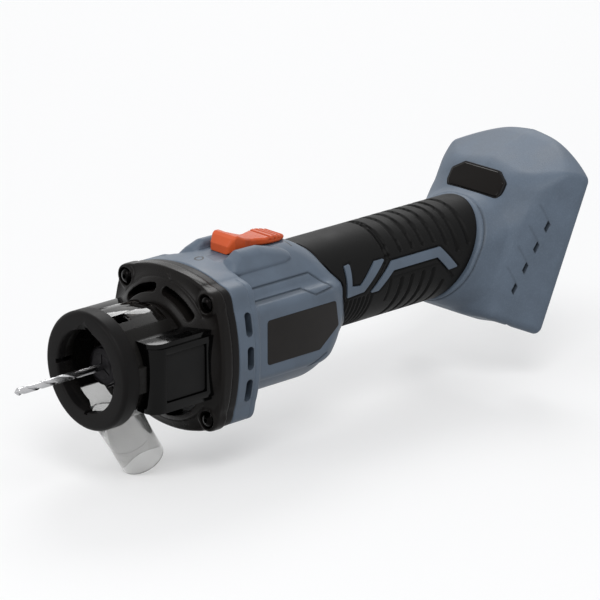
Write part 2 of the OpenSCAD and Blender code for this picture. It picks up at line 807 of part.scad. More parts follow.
module housing() difference() {
    union() {
        along_x(band_x, band_len) difference() {
            squircle(cover_half - 0.5, lobe_r - 0.2);
            circle(r = band_in_r);
        }
        along_x(body_x - 2, rear_wall_x - body_x + 2) difference() {
            motor_outline(side_half);
            motor_inside();
        }
        along_x(rear_wall_x, body_end - rear_wall_x) motor_outline(side_half);
        // Walls behind the fan and round the stator, and the rear bearing's web
        for (x = [body_x - 2, stator_x - 0.2 - rib_t, stator_x + stator_len + 0.2])
            along_x(x, rib_t) difference() {
                motor_inside();
                circle(r = rib_r);
            }
        along_x(rear_bearing_x, rear_bearing_w) motor_inside();
        // The part that carries the slide, and the guards beside it
        block([body_x, -recess_half - 1.2, recess_z - slide_floor],
              [recess_end + 1, recess_half + 1.2, recess_z]);
        wings();
        // Tube of the handle
        difference() {
            bar_x(rear_wall_x, foot_x - rear_wall_x, grip_in_r, handle_rise);
            in_rim() block([1, -far, -far], [far, far, far]);
        }
        intersection() {
            tube_x(body_end, far, grip_r - 0.15, grip_in_r - 1, handle_rise);
            inlays();
            in_rim() block([-far, -far, -far], [0, far, far]);
        }
        foot_block();
    }
    // Rear bearing, wires and the switch module behind the motor
    bar_x(rear_bearing_x, rear_bearing_w, rear_bearing_r);
    bar_x(rear_bearing_x, rear_bearing_w + 2, rear_bearing_r - 2);
    block([rear_bearing_x - 1, -module_half - slide_gap, lead_gap_z],
          [rear_wall_x, module_half + slide_gap, link_z]);
    block([stem_x0 - 4 - switch_travel - slide_gap, -module_half - slide_gap, link_z - link_t - slide_gap],
          [rear_wall_x, module_half + slide_gap, recess_z - slide_floor]);
    // Hollow of the handle, with ledges for the control board and bosses for the screws
    difference() {
        bar_x(rear_wall_x - eps, far, core_in_r, handle_rise);
        both_sides() {
            block([board_x, ledge_in, board_z - ledge_t], [board_x + board_len + 2, far, board_z]);
            block([board_x, ledge_in, board_top + slide_gap],
                  [board_x + board_len + 2, far, board_top + slide_gap + ledge_t]);
        }
        for (s = cross_screws) if (s.x < rim_x + 3) bar_y(-far, far, boss_r, s.x, s.y);
        in_foot() block([bay_floor - bay_wall, -far, -far], [far, far, far]);
    }
    // Hollow of the foot behind its front wall
    difference() {
        in_foot() rotate([90, 0, 90]) translate([0, 0, foot_in])
            linear_extrude(bay_floor - bay_wall - foot_in) polygon([
                [-29, 4 - foot_bottom], [29, 4 - foot_bottom], [28, 3],
                [14.5, 34.4], [-14.5, 34.4], [-28, 3]]);
        for (s = cross_screws) if (s.x > rim_x + 3) bar_y(-far, far, boss_r, s.x, s.y);
    }
    // Battery bay with its rails, and the opening for the terminal block
    in_foot() difference() {
        block([bay_floor, -bay_half, -foot_bottom - 1], [foot_rear + 1, bay_half, bay_top]);
        both_sides() block([rail_x, bay_half - rail_w, -far], [rail_x + rail_t, far, far]);
    }
    in_foot() block([bay_floor - bay_wall - 1, -block_half - slide_gap, block_z0 - slide_gap],
                    [bay_floor + 1, block_half + slide_gap, block_z1 + slide_gap]);
    // Window for the lens, and four slots in each side of the foot
    in_front() light_window(slide_gap / 2, -5, 8);
    both_sides() across_y(foot_side - 7, far) foot_slots();
    // Slots in the band
    both_sides() across_y(band_in_r - 4, far) for (z = [-slot_pitch, 0, slot_pitch])
        round_rect([slot_x - slot_w / 2, z - slot_h / 2], [slot_x + slot_w / 2, z + slot_h / 2],
                   slot_w / 2 - 0.1);
    // Recess of the slide switch and the slot for its stem
    block([recess_x, -recess_half, recess_z], [recess_end, recess_half, far]);
    block([stem_x0 - switch_travel - slide_gap, -stem_half - slide_gap, recess_z - slide_floor - 1],
          [stem_x1 + slide_gap, stem_half + slide_gap, far]);
    // Seats of the labels, the stepped lines over them and the line along the lower edge
    both_sides() across_y(side_half - label_t - label_in, far) polygon(label_points(0.1));
    both_sides() across_y(side_half - line_d, far) {
        line([[body_x + 3, step_high], [body_end - 15, step_high], [body_end - 8, step_low + 1]], line_w);
        line([[body_x + 3, step_low], [body_end - 14, step_low]], line_w);
        line([[body_x + 2, edge_low], [body_end - 23, edge_low], [body_end - 12, edge_low + 3]], line_w);
    }
    // Screw holes
    along_x(0, band_x + screw_len) at_screws() circle(r = hole_r);
    for (s = cross_screws) {
        bar_y(-s.z + 3, far, cross_r + screw_gap, s.x, s.y);
        bar_y(s.z - cross_head_t, far, cross_head + 0.2, s.x, s.y);
    }
}

module foot_slots() for (k = [0:3]) translate([foot_x - 0.6 + 6.2 * k, -4.1 + 8.23 * k])
    polygon([[-2.2, -2.6], [0.4, -2], [2.2, 2.6], [-0.4, 2]]);

module light_window(grow, x0, x1) rotate([90, 0, 90]) translate([0, 0, x0]) linear_extrude(x1 - x0)
    polygon([[-15.3 - grow, -6.3 - grow], [15.3 + grow, -6.3 - grow], [light_y + grow, -3.6],
             [light_y + grow, 2], [10.4 + grow, 6.3 + grow], [-10.4 - grow, 6.3 + grow],
             [-light_y - grow, 2], [-light_y - grow, -3.6]]);

module housing_left() color([0.39, 0.44, 0.49]) intersection() {
    housing();
    half_space(-1);
}

module housing_right() color([0.39, 0.44, 0.49]) intersection() {
    housing();
    half_space(1);
}

module housing_screws() color([0.3, 0.3, 0.32]) for (s = cross_screws) {
    bar_y(-s.z + 4, s.z, cross_r, s.x, s.y);
    bar_y(s.z - cross_head_t, s.z, cross_head, s.x, s.y);
}

// Soft grip over the handle's tube, in two halves

module ring_groove(x, w) difference() {
    bar_x(x - w / 2, w, grip_r + 1, handle_rise);
    bar_x(x - w, 2 * w, grip_r - 0.8, handle_rise);
}

module grip_grooves() {
    upper_z = handle_rise + grip_r * sin(32.5);
    lower_z = handle_rise - grip_r * sin(55);
    intersection() {
        for (k = [0:5]) ring_groove(groove_x + 8.4 + 6.6 * k, 1.3);
        block([0, -far, upper_z], [far, far, far]);
    }
    intersection() {
        for (x = [groove_x - 0.9, groove_x + 0.9]) ring_groove(x, 0.8);
        block([0, -far, handle_rise + 11.4], [far, far, far]);
    }
    intersection() {
        tube_x(0, far, grip_r + 1, grip_r - 0.8, handle_rise);
        union() {
            both_sides() across_y(0, far) for (dx = [-0.9, 0.9])
                polygon([[groove_x + dx - 0.4, 20.7], [groove_x + dx + 0.4, 20.7],
                         [groove_x - 15.4 + dx, 6.4], [groove_x - 16.2 + dx, 6.4]]);
            for (k = [0:4]) translate([groove_x + 6 + 6.4 * k, 0, handle_rise - 2 - (k > 3 ? 6 : 0)])
                rotate([0, 15, 0]) block([0, -far, -20], [1.3, far, 0]);
            for (k = [0:5]) translate([board_x + 3.5 + 2.5 * k, 0, 4.5])
                rotate([0, 15, 0]) block([0, -far, -16], [1, far, 0]);
        }
        block([0, -far, lower_z], [far, far, far]);
    }
}

module grip() difference() {
    tube_x(body_end, foot_x - body_end, grip_r, grip_in_r, handle_rise);
    in_rim() block([0, -far, -far], [far, far, far]);
    inlays();
    grip_grooves();
    for (s = cross_screws) bar_y(0, far, cross_head + 0.4, s.x, s.y);
}

module grip_left() color([0.11, 0.11, 0.11]) intersection() {
    grip();
    half_space(-1);
}

module grip_right() color([0.11, 0.11, 0.11]) intersection() {
    grip();
    half_space(1);
}

module label_plate() across_y(side_half - label_t - label_in, label_t) polygon(label_points(0));

module label_left() color([0.2, 0.19, 0.18]) mirror([0, 1, 0]) label_plate();

module label_right() color([0.2, 0.19, 0.18]) label_plate();

// Bearings and motor

module front_bearing() color([0.7, 0.7, 0.72])
    tube_x(front_bearing_x, front_bearing_w, front_bearing_r, spindle_r + run_gap);

module rear_bearing() color([0.7, 0.7, 0.72])
    tube_x(rear_bearing_x, rear_bearing_w, rear_bearing_r, shaft_r + run_gap);

tooth_half = 3;
yoke_t = 3.5;
shoe_in_r = rotor_r + 0.7;
shoe_t = 2;

module stator_core() color([0.5, 0.5, 0.5]) {
    tube_x(stator_x, stator_len, stator_r, stator_r - yoke_t);
    for (k = [0:teeth - 1]) rotate([360 / teeth * k, 0, 0])
        block([stator_x, -tooth_half, shoe_in_r + 1], [stator_x + stator_len, tooth_half, stator_r - yoke_t + 0.5]);
    along_x(stator_x, stator_len) for (k = [0:teeth - 1]) rotate(360 / teeth * k) intersection() {
        difference() {
            circle(r = shoe_in_r + shoe_t);
            circle(r = shoe_in_r);
        }
        sector(90 - 144 / teeth, 90 + 144 / teeth);
    }
}

module stator_coils() color([0.72, 0.45, 0.2]) for (k = [0:teeth - 1]) rotate([360 / teeth * k, 0, 0])
    difference() {
        coil_half = (shoe_in_r + shoe_t) * tan(180 / teeth) - 1.6;
        coil_z = shoe_in_r + shoe_t + 0.2;
        coil_top = sqrt(pow(stator_r - yoke_t - 0.3, 2) - coil_half * coil_half);
        block([stator_x - coil_out, -coil_half, coil_z],
              [stator_x + stator_len + coil_out, coil_half, coil_top]);
        block([stator_x - 0.1, -tooth_half - 0.1, 0],
              [stator_x + stator_len + 0.1, tooth_half + 0.1, far]);
    }

module sensor_board() color([0.1, 0.35, 0.2]) tube_x(sensor_x, board_t, rib_r - 0.5, spindle_r + 2.5);

// Slide switch

module slide_button() color([0.84, 0.36, 0.19]) {
    intersection() {
        across_y(-far / 2, far) polygon([
            [button_x, button_z], [button_x, ridge_z - 4], [button_x + 2, ridge_z - 1],
            [button_x + 3.7, ridge_z], [button_x + 5.3, ridge_z - 0.1], [button_x + 8, ridge_z - 1.5],
            [button_x + 15, ridge_z - 3.9], [button_x + 21, ridge_z - 4.3], [button_x + 25, ridge_z - 3.9],
            [button_x + 31, ridge_z - 5], [button_x + button_len, button_z + 1],
            [button_x + button_len, button_z]]);
        linear_extrude(far) for (side = [0, 1]) mirror([0, side]) polygon([
            [button_x, 0], [button_x, button_w / 2 - 2], [button_x + 3, button_w / 2],
            [button_x + 9, button_w / 2], [button_x + 14, button_w / 2 - 2.4],
            [button_x + 18, button_w / 2 - 2.4], [button_x + 24, button_w / 2 - 0.6],
            [button_x + 31, button_w / 2 - 1], [button_x + button_len, button_w / 2 - 3],
            [button_x + button_len, 0]]);
    }
    block([stem_x0, -stem_half, link_z], [stem_x1, stem_half, button_z + 1]);
}

module slide_link() color([0.75, 0.75, 0.76]) {
    block([stem_x0 - 4, -module_half, link_z - link_t], [stem_x1 + 4, module_half, link_z]);
    block([stem_x1 + 3, -stem_half, link_z - link_t], [module_x + 1.5, stem_half, link_z]);
}

module switch_module() color([0.15, 0.15, 0.15])
    block([module_x, -module_half, module_z0], [rear_wall_x - slide_gap, module_half, module_z1]);

// Electronics in the handle

module control_board() color([0.1, 0.35, 0.2])
    block([board_x, -board_half, board_z], [board_x + board_len, board_half, board_top]);

module board_connector() color([0.85, 0.84, 0.8]) block(
    [connector_x, -connector_half, board_top],
    [connector_x + connector_len, connector_half, board_top + connector_h]);

module heat_sink() color([0.7, 0.71, 0.72]) difference() {
    block([sink_x, -sink_half, board_z - sink_h], [sink_x + sink_len, sink_half, board_z]);
    for (y = [-8:4:8]) block([sink_x - 1, y - 1.2, board_z - sink_h - 1],
                             [sink_x + sink_len + 1, y + 1.2, board_z - 2.4]);
}

module capacitors() color([0.2, 0.22, 0.3]) for (side = [-1, 1])
    bar_x(sink_x + cap_r, cap_len, cap_r, board_top + cap_r, side * (cap_r + 0.5));

module motor_leads() color([0.6, 0.1, 0.1]) for (y = [-motor_lead_y, 0, motor_lead_y])
    bar_x(sensor_x + board_t, connector_x - sensor_x - board_t, lead_r, motor_lead_z, y);

module switch_leads() color([0.1, 0.1, 0.1]) for (y = [-switch_lead_y, switch_lead_y]) {
    bar_x(rear_wall_x - slide_gap, connector_x + 4 - rear_wall_x + slide_gap, switch_lead_r,
          switch_lead_z, y);
    translate([connector_x + 4, y, board_top + connector_h])
        cylinder(h = switch_lead_z - board_top - connector_h, r = switch_lead_r);
    translate([connector_x + 4, y, switch_lead_z]) sphere(r = switch_lead_r);
}

module battery_leads() color([0.6, 0.1, 0.1]) difference() {
    for (y = [-battery_lead_y, battery_lead_y])
        bar_x(battery_lead_x, far / 4, lead_r, board_top + lead_r, y);
    in_foot() block([block_x0, -far, -far], [far, far, far]);
}

// Light and battery terminals in the foot

module light_lens() color([0.12, 0.12, 0.12]) in_front() light_window(0, -lens_proud, lens_t - lens_proud);

module light_board() color([0.9, 0.9, 0.85]) in_front()
    block([lens_t - lens_proud + slide_gap, -12, -5], [lens_t - lens_proud + slide_gap + board_t, 12, 5]);

module terminal_block() color([0.08, 0.08, 0.08]) in_foot()
    block([block_x0, -block_half, block_z0], [block_x1, block_half, block_z1]);

module terminal_blades() color([0.8, 0.65, 0.3]) in_foot() for (y = [-9, -3, 3, 9])
    block([bay_floor + 0.5, y - 0.4, blade_z], [blade_x1, y + 0.4, block_z0]);

guide_ring();
guide_frame();
guide_window();
dust_chute();
cutting_bit();
collet();
collet_nut();
spindle();
lock_ring();
fan();
rotor_core();
rotor_magnets();
front_cover();
nose_tube();
cover_gasket();
nose_frame();
cover_screws();
nose_screws();
lock_pad();
lock_pin();
lock_springs();
release_pad();
release_springs();
housing_left();
housing_right();
housing_screws();
grip_left();
grip_right();
label_left();
label_right();
front_bearing();
rear_bearing();
stator_core();
stator_coils();
sensor_board();
slide_button();
slide_link();
switch_module();
control_board();
board_connector();
heat_sink();
capacitors();
motor_leads();
switch_leads();
battery_leads();
light_lens();
light_board();
terminal_block();
terminal_blades();
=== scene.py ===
"""Looks of a cordless drywall cut out tool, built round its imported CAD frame."""

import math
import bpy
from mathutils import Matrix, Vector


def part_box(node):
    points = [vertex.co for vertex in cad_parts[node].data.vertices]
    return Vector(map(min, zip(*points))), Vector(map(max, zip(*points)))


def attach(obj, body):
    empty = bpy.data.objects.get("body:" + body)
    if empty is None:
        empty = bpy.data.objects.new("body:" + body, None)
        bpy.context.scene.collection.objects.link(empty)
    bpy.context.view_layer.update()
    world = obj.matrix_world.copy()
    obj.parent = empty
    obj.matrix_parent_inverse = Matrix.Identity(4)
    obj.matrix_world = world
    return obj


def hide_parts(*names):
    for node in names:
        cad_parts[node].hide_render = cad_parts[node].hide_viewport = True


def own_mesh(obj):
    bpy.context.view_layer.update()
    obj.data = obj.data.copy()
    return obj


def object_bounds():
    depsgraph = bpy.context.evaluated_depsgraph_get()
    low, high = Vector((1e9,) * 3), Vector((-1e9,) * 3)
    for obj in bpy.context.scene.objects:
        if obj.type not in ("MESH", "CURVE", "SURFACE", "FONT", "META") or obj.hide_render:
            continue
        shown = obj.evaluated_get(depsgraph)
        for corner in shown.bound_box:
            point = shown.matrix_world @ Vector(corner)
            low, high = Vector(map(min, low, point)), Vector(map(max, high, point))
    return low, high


bl_info = {
    "name": "Drywall Cut Out Tool",
    "version": (1, 0, 0),
    "blender": (4, 5, 0),
    "location": "View3D > Sidebar > Cut Out Tool",
    "description": "Builds the moulded, rubber, steel and clear pieces of a drywall cut out tool",
    "category": "Object",
}

from contextlib import contextmanager

import bmesh
import bpy
import numpy as np
from mathutils import Matrix, Vector

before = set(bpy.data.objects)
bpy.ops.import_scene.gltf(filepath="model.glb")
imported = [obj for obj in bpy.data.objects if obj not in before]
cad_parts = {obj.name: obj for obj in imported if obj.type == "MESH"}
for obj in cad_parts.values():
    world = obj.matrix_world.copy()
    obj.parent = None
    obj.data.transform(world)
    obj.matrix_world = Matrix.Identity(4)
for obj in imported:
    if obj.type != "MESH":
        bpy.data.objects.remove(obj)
CAD_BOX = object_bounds()
MM = 0.001

# Where the handle's middle line lies, and where the foot leans on its rear end, in millimetres
HANDLE_Z = 9.3
FOOT_AT = (214.0, HANDLE_Z)
FOOT_LEAN = math.radians(24.7)

# The handle's rear rim, which leans more than the foot, and the groove behind it
RIM_X = 200.6
RIM_LEAN = math.radians(31.0)
RIM_GROOVE = 1.9

# The front's four screws, to each side of the middle
SCREW_AT = 25


# Settings


def size(label, text, value, low=0.1, high=60.0):
    """A length that a user may change, given here in millimetres."""
    return bpy.props.FloatProperty(name=label, description=text, default=value * MM, min=low * MM,
                                   max=high * MM, unit="LENGTH", precision=4)


def colour(label, text, red, green, blue):
    """A colour that a user may change, given here as the eye sees it, from 0 to 255."""
    return bpy.props.FloatVectorProperty(name=label, description=text, subtype="COLOR", size=4, min=0,
                                         max=1, default=seen(red, green, blue))


def seen(red, green, blue):
    """The linear colour of a colour given from 0 to 255."""
    def linear(c):
        c /= 255
        return c / 12.92 if c <= 0.04045 else ((c + 0.055) / 1.055) ** 2.4
    return (linear(red), linear(green), linear(blue), 1.0)


class CutOutShapes(bpy.types.PropertyGroup):
    """Sizes of the moulded details"""

    body_step: size("Field step, body", "Fineness of the motor housing's mesh", 0.42, 0.3, 2)
    foot_step: size("Field step, foot", "Fineness of the foot's mesh", 0.52, 0.3, 2)
    cover_step: size("Field step, cover", "Fineness of the front cover's mesh", 0.45, 0.3, 2)
    band_fillet: size("Band fillet", "Soft step between the front band and the housing", 2.4, 0.5, 5)
    edge_round: size("Edge rounding", "Rounding of the housing's moulded edges", 1.1, 0.4, 3)
    foot_round: size("Foot rounding", "Rounding of the foot's corners", 7.0, 2, 12)
    groove_depth: size("Groove depth", "Depth of the grip's grooves", 0.75, 0.2, 1.5)
    ring_round: size("Ring rounding", "Rounding of the guide ring's rim", 2.0, 0.5, 3)
    flute_depth: size("Flute depth", "Depth of the bit's spiral flutes", 0.72, 0.2, 1)


class CutOutColours(bpy.types.PropertyGroup):
    """Colours of the finishes"""

    housing: colour("Housing", "Blue grey moulded housing", 88, 100, 114)
    grip: colour("Grip", "Soft black grip", 14, 14, 14)
    cover: colour("Cover", "Satin black front cover", 20, 18, 17)
    switch: colour("Switch", "Orange slide switch", 200, 84, 40)
    label: colour("Label", "Dark label plate", 38, 36, 35)
    steel: colour("Steel", "Bright steel of the bit", 205, 205, 207)


# Meshes


def add_object(name, mesh):
    """A new object in the scene."""
    piece = bpy.data.objects.new(name, mesh)
    bpy.context.scene.collection.objects.link(piece)
    return piece


def add_mesh(name, points, faces):
    """A piece from points in millimetres."""
    mesh = bpy.data.meshes.new(name)
    faces = [tuple(int(i) for i in face) for face in faces]
    mesh.from_pydata((np.asarray(points, float) * MM).tolist(), [], faces)
    mesh.update()
    return add_object(name, mesh)


@contextmanager
def edited(piece):
    """The piece's mesh, open to be changed; the changes are kept."""
    bm = bmesh.new()
    bm.from_mesh(piece.data)
    yield bm
    bm.to_mesh(piece.data)
    bm.free()


def outward(piece, merge=0.002):
    """Merges doubles and turns every face outwards."""
    with edited(piece) as bm:
        bmesh.ops.remove_doubles(bm, verts=bm.verts, dist=merge * MM)
        bmesh.ops.recalc_face_normals(bm, faces=bm.faces)
    return piece


def finished_mesh(piece):
    """The piece with its modifiers made part of its mesh."""
    bpy.context.view_layer.update()
    mesh = bpy.data.meshes.new_from_object(piece.evaluated_get(bpy.context.evaluated_depsgraph_get()))
    piece.modifiers.clear()
    old, piece.data = piece.data, mesh
    bpy.data.meshes.remove(old)
    return piece


def bevelled(piece, width, angle, segments):
    """The piece with the edges that are sharper than an angle rounded."""
    step = piece.modifiers.new("bevel", "BEVEL")
    step.width, step.segments, step.limit_method = width * MM, segments, "ANGLE"
    step.angle_limit = math.radians(angle)
    return finished_mesh(piece)


def lay(plane, a, b, c):
    """Points from an outline (a, b) and the height c over its plane."""
    if plane == "x":
        return np.stack([c, a, b], 1)
    if plane == "y":
        return np.stack([a, c, b], 1)
    return np.stack([a, b, c], 1)


def fillet(points, radius, steps=5):
    """A closed outline with its corners rounded; radius is one number, or one for each corner."""
    points = [np.array(p, float) for p in points]
    count = len(points)
    radii = list(radius) if hasattr(radius, "__len__") else [radius] * count
    out = []
    for i, p in enumerate(points):
        a, b = points[i - 1] - p, points[(i + 1) % count] - p
        la, lb = np.linalg.norm(a), np.linalg.norm(b)
        a, b = a / la, b / lb
        half = math.acos(max(-1.0, min(1.0, float(a @ b)))) / 2
        if radii[i] <= 0 or half > math.radians(88.5):
            out.append(p)
            continue
        reach = min(radii[i] / math.tan(half), la * 0.49, lb * 0.49)
        r = reach * math.tan(half)
        middle = (a + b) / np.linalg.norm(a + b) * (r / math.sin(half))
        for k in range(steps + 1):
            t = k / steps
            start, end = a * reach - middle, b * reach - middle
            angle = math.pi - 2 * half
            from_start = math.sin((1 - t) * angle) / math.sin(angle)
            from_end = math.sin(t * angle) / math.sin(angle)
            out.append(p + middle + start * from_start + end * from_end)
    return np.array(out)


def circle(a, b, radius, count):
    """The corners of a regular outline round a middle."""
    t = np.arange(count) / count * 2 * np.pi
    return np.stack([a + radius * np.cos(t), b + radius * np.sin(t)], 1)


def grown(outline, by):
    """The outline moved outwards by a distance."""
    p = np.asarray(outline, float)
    area = 0.5 * np.sum(p[:, 0] * np.roll(p[:, 1], -1) - np.roll(p[:, 0], -1) * p[:, 1])
    d0, d1 = p - np.roll(p, 1, 0), np.roll(p, -1, 0) - p
    n0 = np.stack([d0[:, 1], -d0[:, 0]], 1) / np.maximum(np.linalg.norm(d0, axis=1), 1e-9)[:, None]
    n1 = np.stack([d1[:, 1], -d1[:, 0]], 1) / np.maximum(np.linalg.norm(d1, axis=1), 1e-9)[:, None]
    n = n0 + n1
    n = n / np.maximum(np.linalg.norm(n, axis=1), 1e-9)[:, None]
    cosine = np.maximum((n * n0).sum(1), 0.35)
    return p + n * (by * np.sign(area) / cosine)[:, None]


def stacked(name, rings, plane="z"):
    """A skin over rings of (outline, height), with flat ends."""
    count = len(rings[0][0])
    points = np.concatenate([lay(plane, o[:, 0], o[:, 1], np.full(count, h)) for o, h in rings])
    faces = []
    for k in range(len(rings) - 1):
        for i in range(count):
            j = (i + 1) % count
            faces.append((k * count + i, k * count + j, (k + 1) * count + j, (k + 1) * count + i))
    faces.append(tuple(range(count))[::-1])
    faces.append(tuple(range((len(rings) - 1) * count, len(rings) * count)))
    return outward(add_mesh(name, points, faces))


def rounded_prism(name, outline, low, high, edge=0.4, plane="z", low_edge=None, steps=3):
    """A prism with rounded rims, from an outline that turns round once."""
    low_edge = edge if low_edge is None else low_edge
    rings = []
    for r, base, way in ((low_edge, low, 1), (edge, high, -1)):
        part = []
        if r <= 0:
            part = [(np.asarray(outline, float), base)]
        else:
            for k in range(steps + 1):
                a = math.pi / 2 * k / steps
                inset = grown(outline, -r * (1 - math.sin(a)))
                part.append((inset, base + way * r * (1 - math.cos(a))))
        rings.append(part)
    return stacked(name, rings[0] + rings[1][::-1], plane)


def turned(name, profile, count=96, centre=(0.0, 0.0)):
    """A solid of revolution from a closed profile of (along, radius), round the X direction."""
    profile = np.asarray(profile, float)
    t = np.arange(count) / count * 2 * np.pi
    n = len(profile)
    x = np.repeat(profile[:, 0][None], count, 0)
    y = centre[0] + profile[None, :, 1] * np.cos(t)[:, None]
    z = centre[1] + profile[None, :, 1] * np.sin(t)[:, None]
    points = np.stack([x, y, z], 2).reshape(-1, 3)
    faces = []
    for i in range(count):
        j = (i + 1) % count
        for k in range(n):
            m = (k + 1) % n
            if profile[k, 1] <= 1e-6 and profile[m, 1] <= 1e-6:
                continue
            faces.append((i * n + k, j * n + k, j * n + m, i * n + m))
    piece = outward(add_mesh(name, points, faces), 0.0005)
    with edited(piece) as bm:
        bmesh.ops.dissolve_degenerate(bm, edges=bm.edges, dist=1e-7)
    return piece


def arcs(corners, steps=4):
    """A profile from (along, radius, rounding) corners."""
    return fillet([(c[0], c[1]) for c in corners], [c[2] for c in corners], steps)


def joined(name, pieces):
    """One piece from several."""
    bm = bmesh.new()
    for piece in pieces:
        bm.from_mesh(piece.data)
        bpy.data.objects.remove(piece)
    mesh = bpy.data.meshes.new(name)
    bm.to_mesh(mesh)
    bm.free()
    return add_object(name, mesh)


def cut(piece, *cutters, operation="DIFFERENCE"):
    """Takes the cutters out of a piece, one after another, and removes them."""
    for cutter in cutters:
        step = piece.modifiers.new("cut", "BOOLEAN")
        step.operation, step.solver, step.object = operation, "EXACT", cutter
        finished_mesh(piece)
        bpy.data.objects.remove(cutter)
        if not len(piece.data.polygons):
            raise RuntimeError(f"{piece.name}: a cut left nothing")
    return piece


def mirrored(piece, name):
    """A copy of the piece on the other side of the middle plane, its faces outwards."""
    mesh = piece.data.copy()
    mesh.transform(Matrix.Scale(-1, 4, (0, 1, 0)))
    mesh.flip_normals()
    return add_object(name, mesh)


def block(low, high, edge=0.0):
    """A box between two corners, its edges rounded."""
    low, high = np.array(low, float), np.array(high, float)
    outline = np.array([(low[0], low[1]), (high[0], low[1]), (high[0], high[1]), (low[0], high[1])])
    if edge <= 0:
        return stacked("block", [(outline, low[2]), (outline, high[2])])
    return rounded_prism("block", fillet(outline, edge * 1.2, 3), low[2], high[2], edge, steps=2)


def foot_matrix(extra=0.0, at=(0.0, 0.0)):
    """The foot's leaning frame, and frames that lean further on a point of it."""
    def leaning(place, lean):
        return Matrix.Translation(Vector((place[0], 0, place[1])) * MM) @ Matrix.Rotation(lean, 4, "Y")
    return leaning(FOOT_AT, FOOT_LEAN) @ leaning(at, extra)


def in_foot_frame(x, z):
    """A place along and up the tool, as a place along and up the leaning foot."""
    dx, dz = x - FOOT_AT[0], z - FOOT_AT[1]
    cosine, sine = math.cos(FOOT_LEAN), math.sin(FOOT_LEAN)
    return dx * cosine - dz * sine, dx * sine + dz * cosine


# Distance fields


def meet(a, b, r):
    """Intersection of two fields, with the edge rounded by r."""
    return np.minimum(-r, np.maximum(a, b)) + np.hypot(np.maximum(a + r, 0), np.maximum(b + r, 0))


def join(a, b, r):
    """Union of two fields, with the corner filled by r."""
    return -meet(-a, -b, r)


def carve(a, b, r):
    """Field a without b."""
    return meet(a, -b, r)


def slab(v, low, high):
    """Distance to the space between two planes."""
    return np.abs(v - (low + high) / 2) - (high - low) / 2


def round_box(a, b, half_a, half_b, r):
    """Distance to a rectangle with round corners, in two dimensions."""
    qa, qb = np.abs(a) - half_a + r, np.abs(b) - half_b + r
    return np.hypot(np.maximum(qa, 0), np.maximum(qb, 0)) + np.minimum(np.maximum(qa, qb), 0) - r


def line_distance(a, b, points):
    """Distance to a line through points, in two dimensions."""
    best = np.full(np.broadcast(a, b).shape, 1e9)
    for (a0, b0), (a1, b1) in zip(points, points[1:]):
        ea, eb = a1 - a0, b1 - b0
        t = np.clip(((a - a0) * ea + (b - b0) * eb) / (ea * ea + eb * eb), 0, 1)
        best = np.minimum(best, np.hypot(a - a0 - t * ea, b - b0 - t * eb))
    return best


def polygon_distance(a, b, points):
    """Signed distance to a polygon, in two dimensions, below zero inside."""
    closed = points + points[:1]
    away = line_distance(a, b, closed)
    inside = np.zeros(away.shape, bool)
    for (a0, b0), (a1, b1) in zip(closed, closed[1:]):
        inside ^= ((b0 > b) != (b1 > b)) & (a < (a1 - a0) * (b - b0) / ((b1 - b0) or 1e-9) + a0)
    return np.where(inside, -away, away)


# How the surface of a field is found: a small shift keeps the grid's points off its flat faces, and then
# each point moves to the surface a few times, by no more than a share of the grid's step
GRID_SHIFT = 0.013
MOVES = 3
LONGEST_MOVE = 0.4
SLOPE_SPAN = 0.25


def field_piece(name, field, low, high, step):
    """A smooth mesh of the surface where the field is zero."""
    axes = [np.arange(low[k] - GRID_SHIFT, high[k] + step, step) for k in range(3)]
    grid = field(axes[0][:, None, None], axes[1][None, :, None], axes[2][None, None, :])
    grid = np.broadcast_to(grid, tuple(len(a) for a in axes)).astype(np.float32)
    inside = grid < 0
    cells = tuple(n - 1 for n in grid.shape)
    at_cells, at_points, quads = [], [], []
    for axis in range(3):
        head = [slice(None)] * 3
        tail = [slice(None)] * 3
        head[axis], tail[axis] = slice(None, -1), slice(1, None)
        index = np.nonzero(inside[tuple(head)] != inside[tuple(tail)])
        d0 = grid[tuple(head)][index]
        d1 = grid[tuple(tail)][index]
        place = np.stack(index, 1).astype(float)
        place[:, axis] += d0 / (d0 - d1)
        u, v = [k for k in range(3) if k != axis]
        around = []
        keep = np.ones(len(d0), bool)
        for du, dv in ((-1, -1), (0, -1), (0, 0), (-1, 0)):
            cell = [index[k].copy() for k in range(3)]
            cell[u] = cell[u] + du
            cell[v] = cell[v] + dv
            for k in (u, v):
                keep &= (cell[k] >= 0) & (cell[k] < cells[k])
            around.append(cell)
        ring = np.stack([np.ravel_multi_index([c[keep] for c in cell], cells) for cell in around], 1)
        for column in range(4):
            at_cells.append(ring[:, column])
            at_points.append(place[keep])
        turned_round = (d0[keep] < 0) == (axis != 1)
        quads.append(np.where(turned_round[:, None], ring, ring[:, ::-1]))
    at_cells, at_points = np.concatenate(at_cells), np.concatenate(at_points)
    used, where = np.unique(at_cells, return_inverse=True)
    number = np.bincount(where, minlength=len(used))
    points = np.stack([np.bincount(where, at_points[:, k], len(used)) / number for k in range(3)], 1)
    points = points * step + np.array([a[0] for a in axes])
    faces = np.searchsorted(used, np.concatenate(quads))
    for _ in range(MOVES):
        away, slope = field_slope(field, points, step * SLOPE_SPAN)
        move = away[:, None] * slope
        far = np.linalg.norm(move, axis=1)
        points = points - move * np.minimum(1, step * LONGEST_MOVE / np.maximum(far, 1e-9))[:, None]
    return quad_mesh(name, points, faces)


def field_slope(field, points, span):
    """The field at points, and its slope scaled so that their product is the step to the surface."""
    slope = np.zeros(points.shape)
    for k in range(3):
        ahead, behind = points.copy(), points.copy()
        ahead[:, k] += span
        behind[:, k] -= span
        slope[:, k] = (field(*ahead.T) - field(*behind.T)) / (2 * span)
    return field(*points.T), slope / np.maximum((slope * slope).sum(1), 0.2)[:, None]


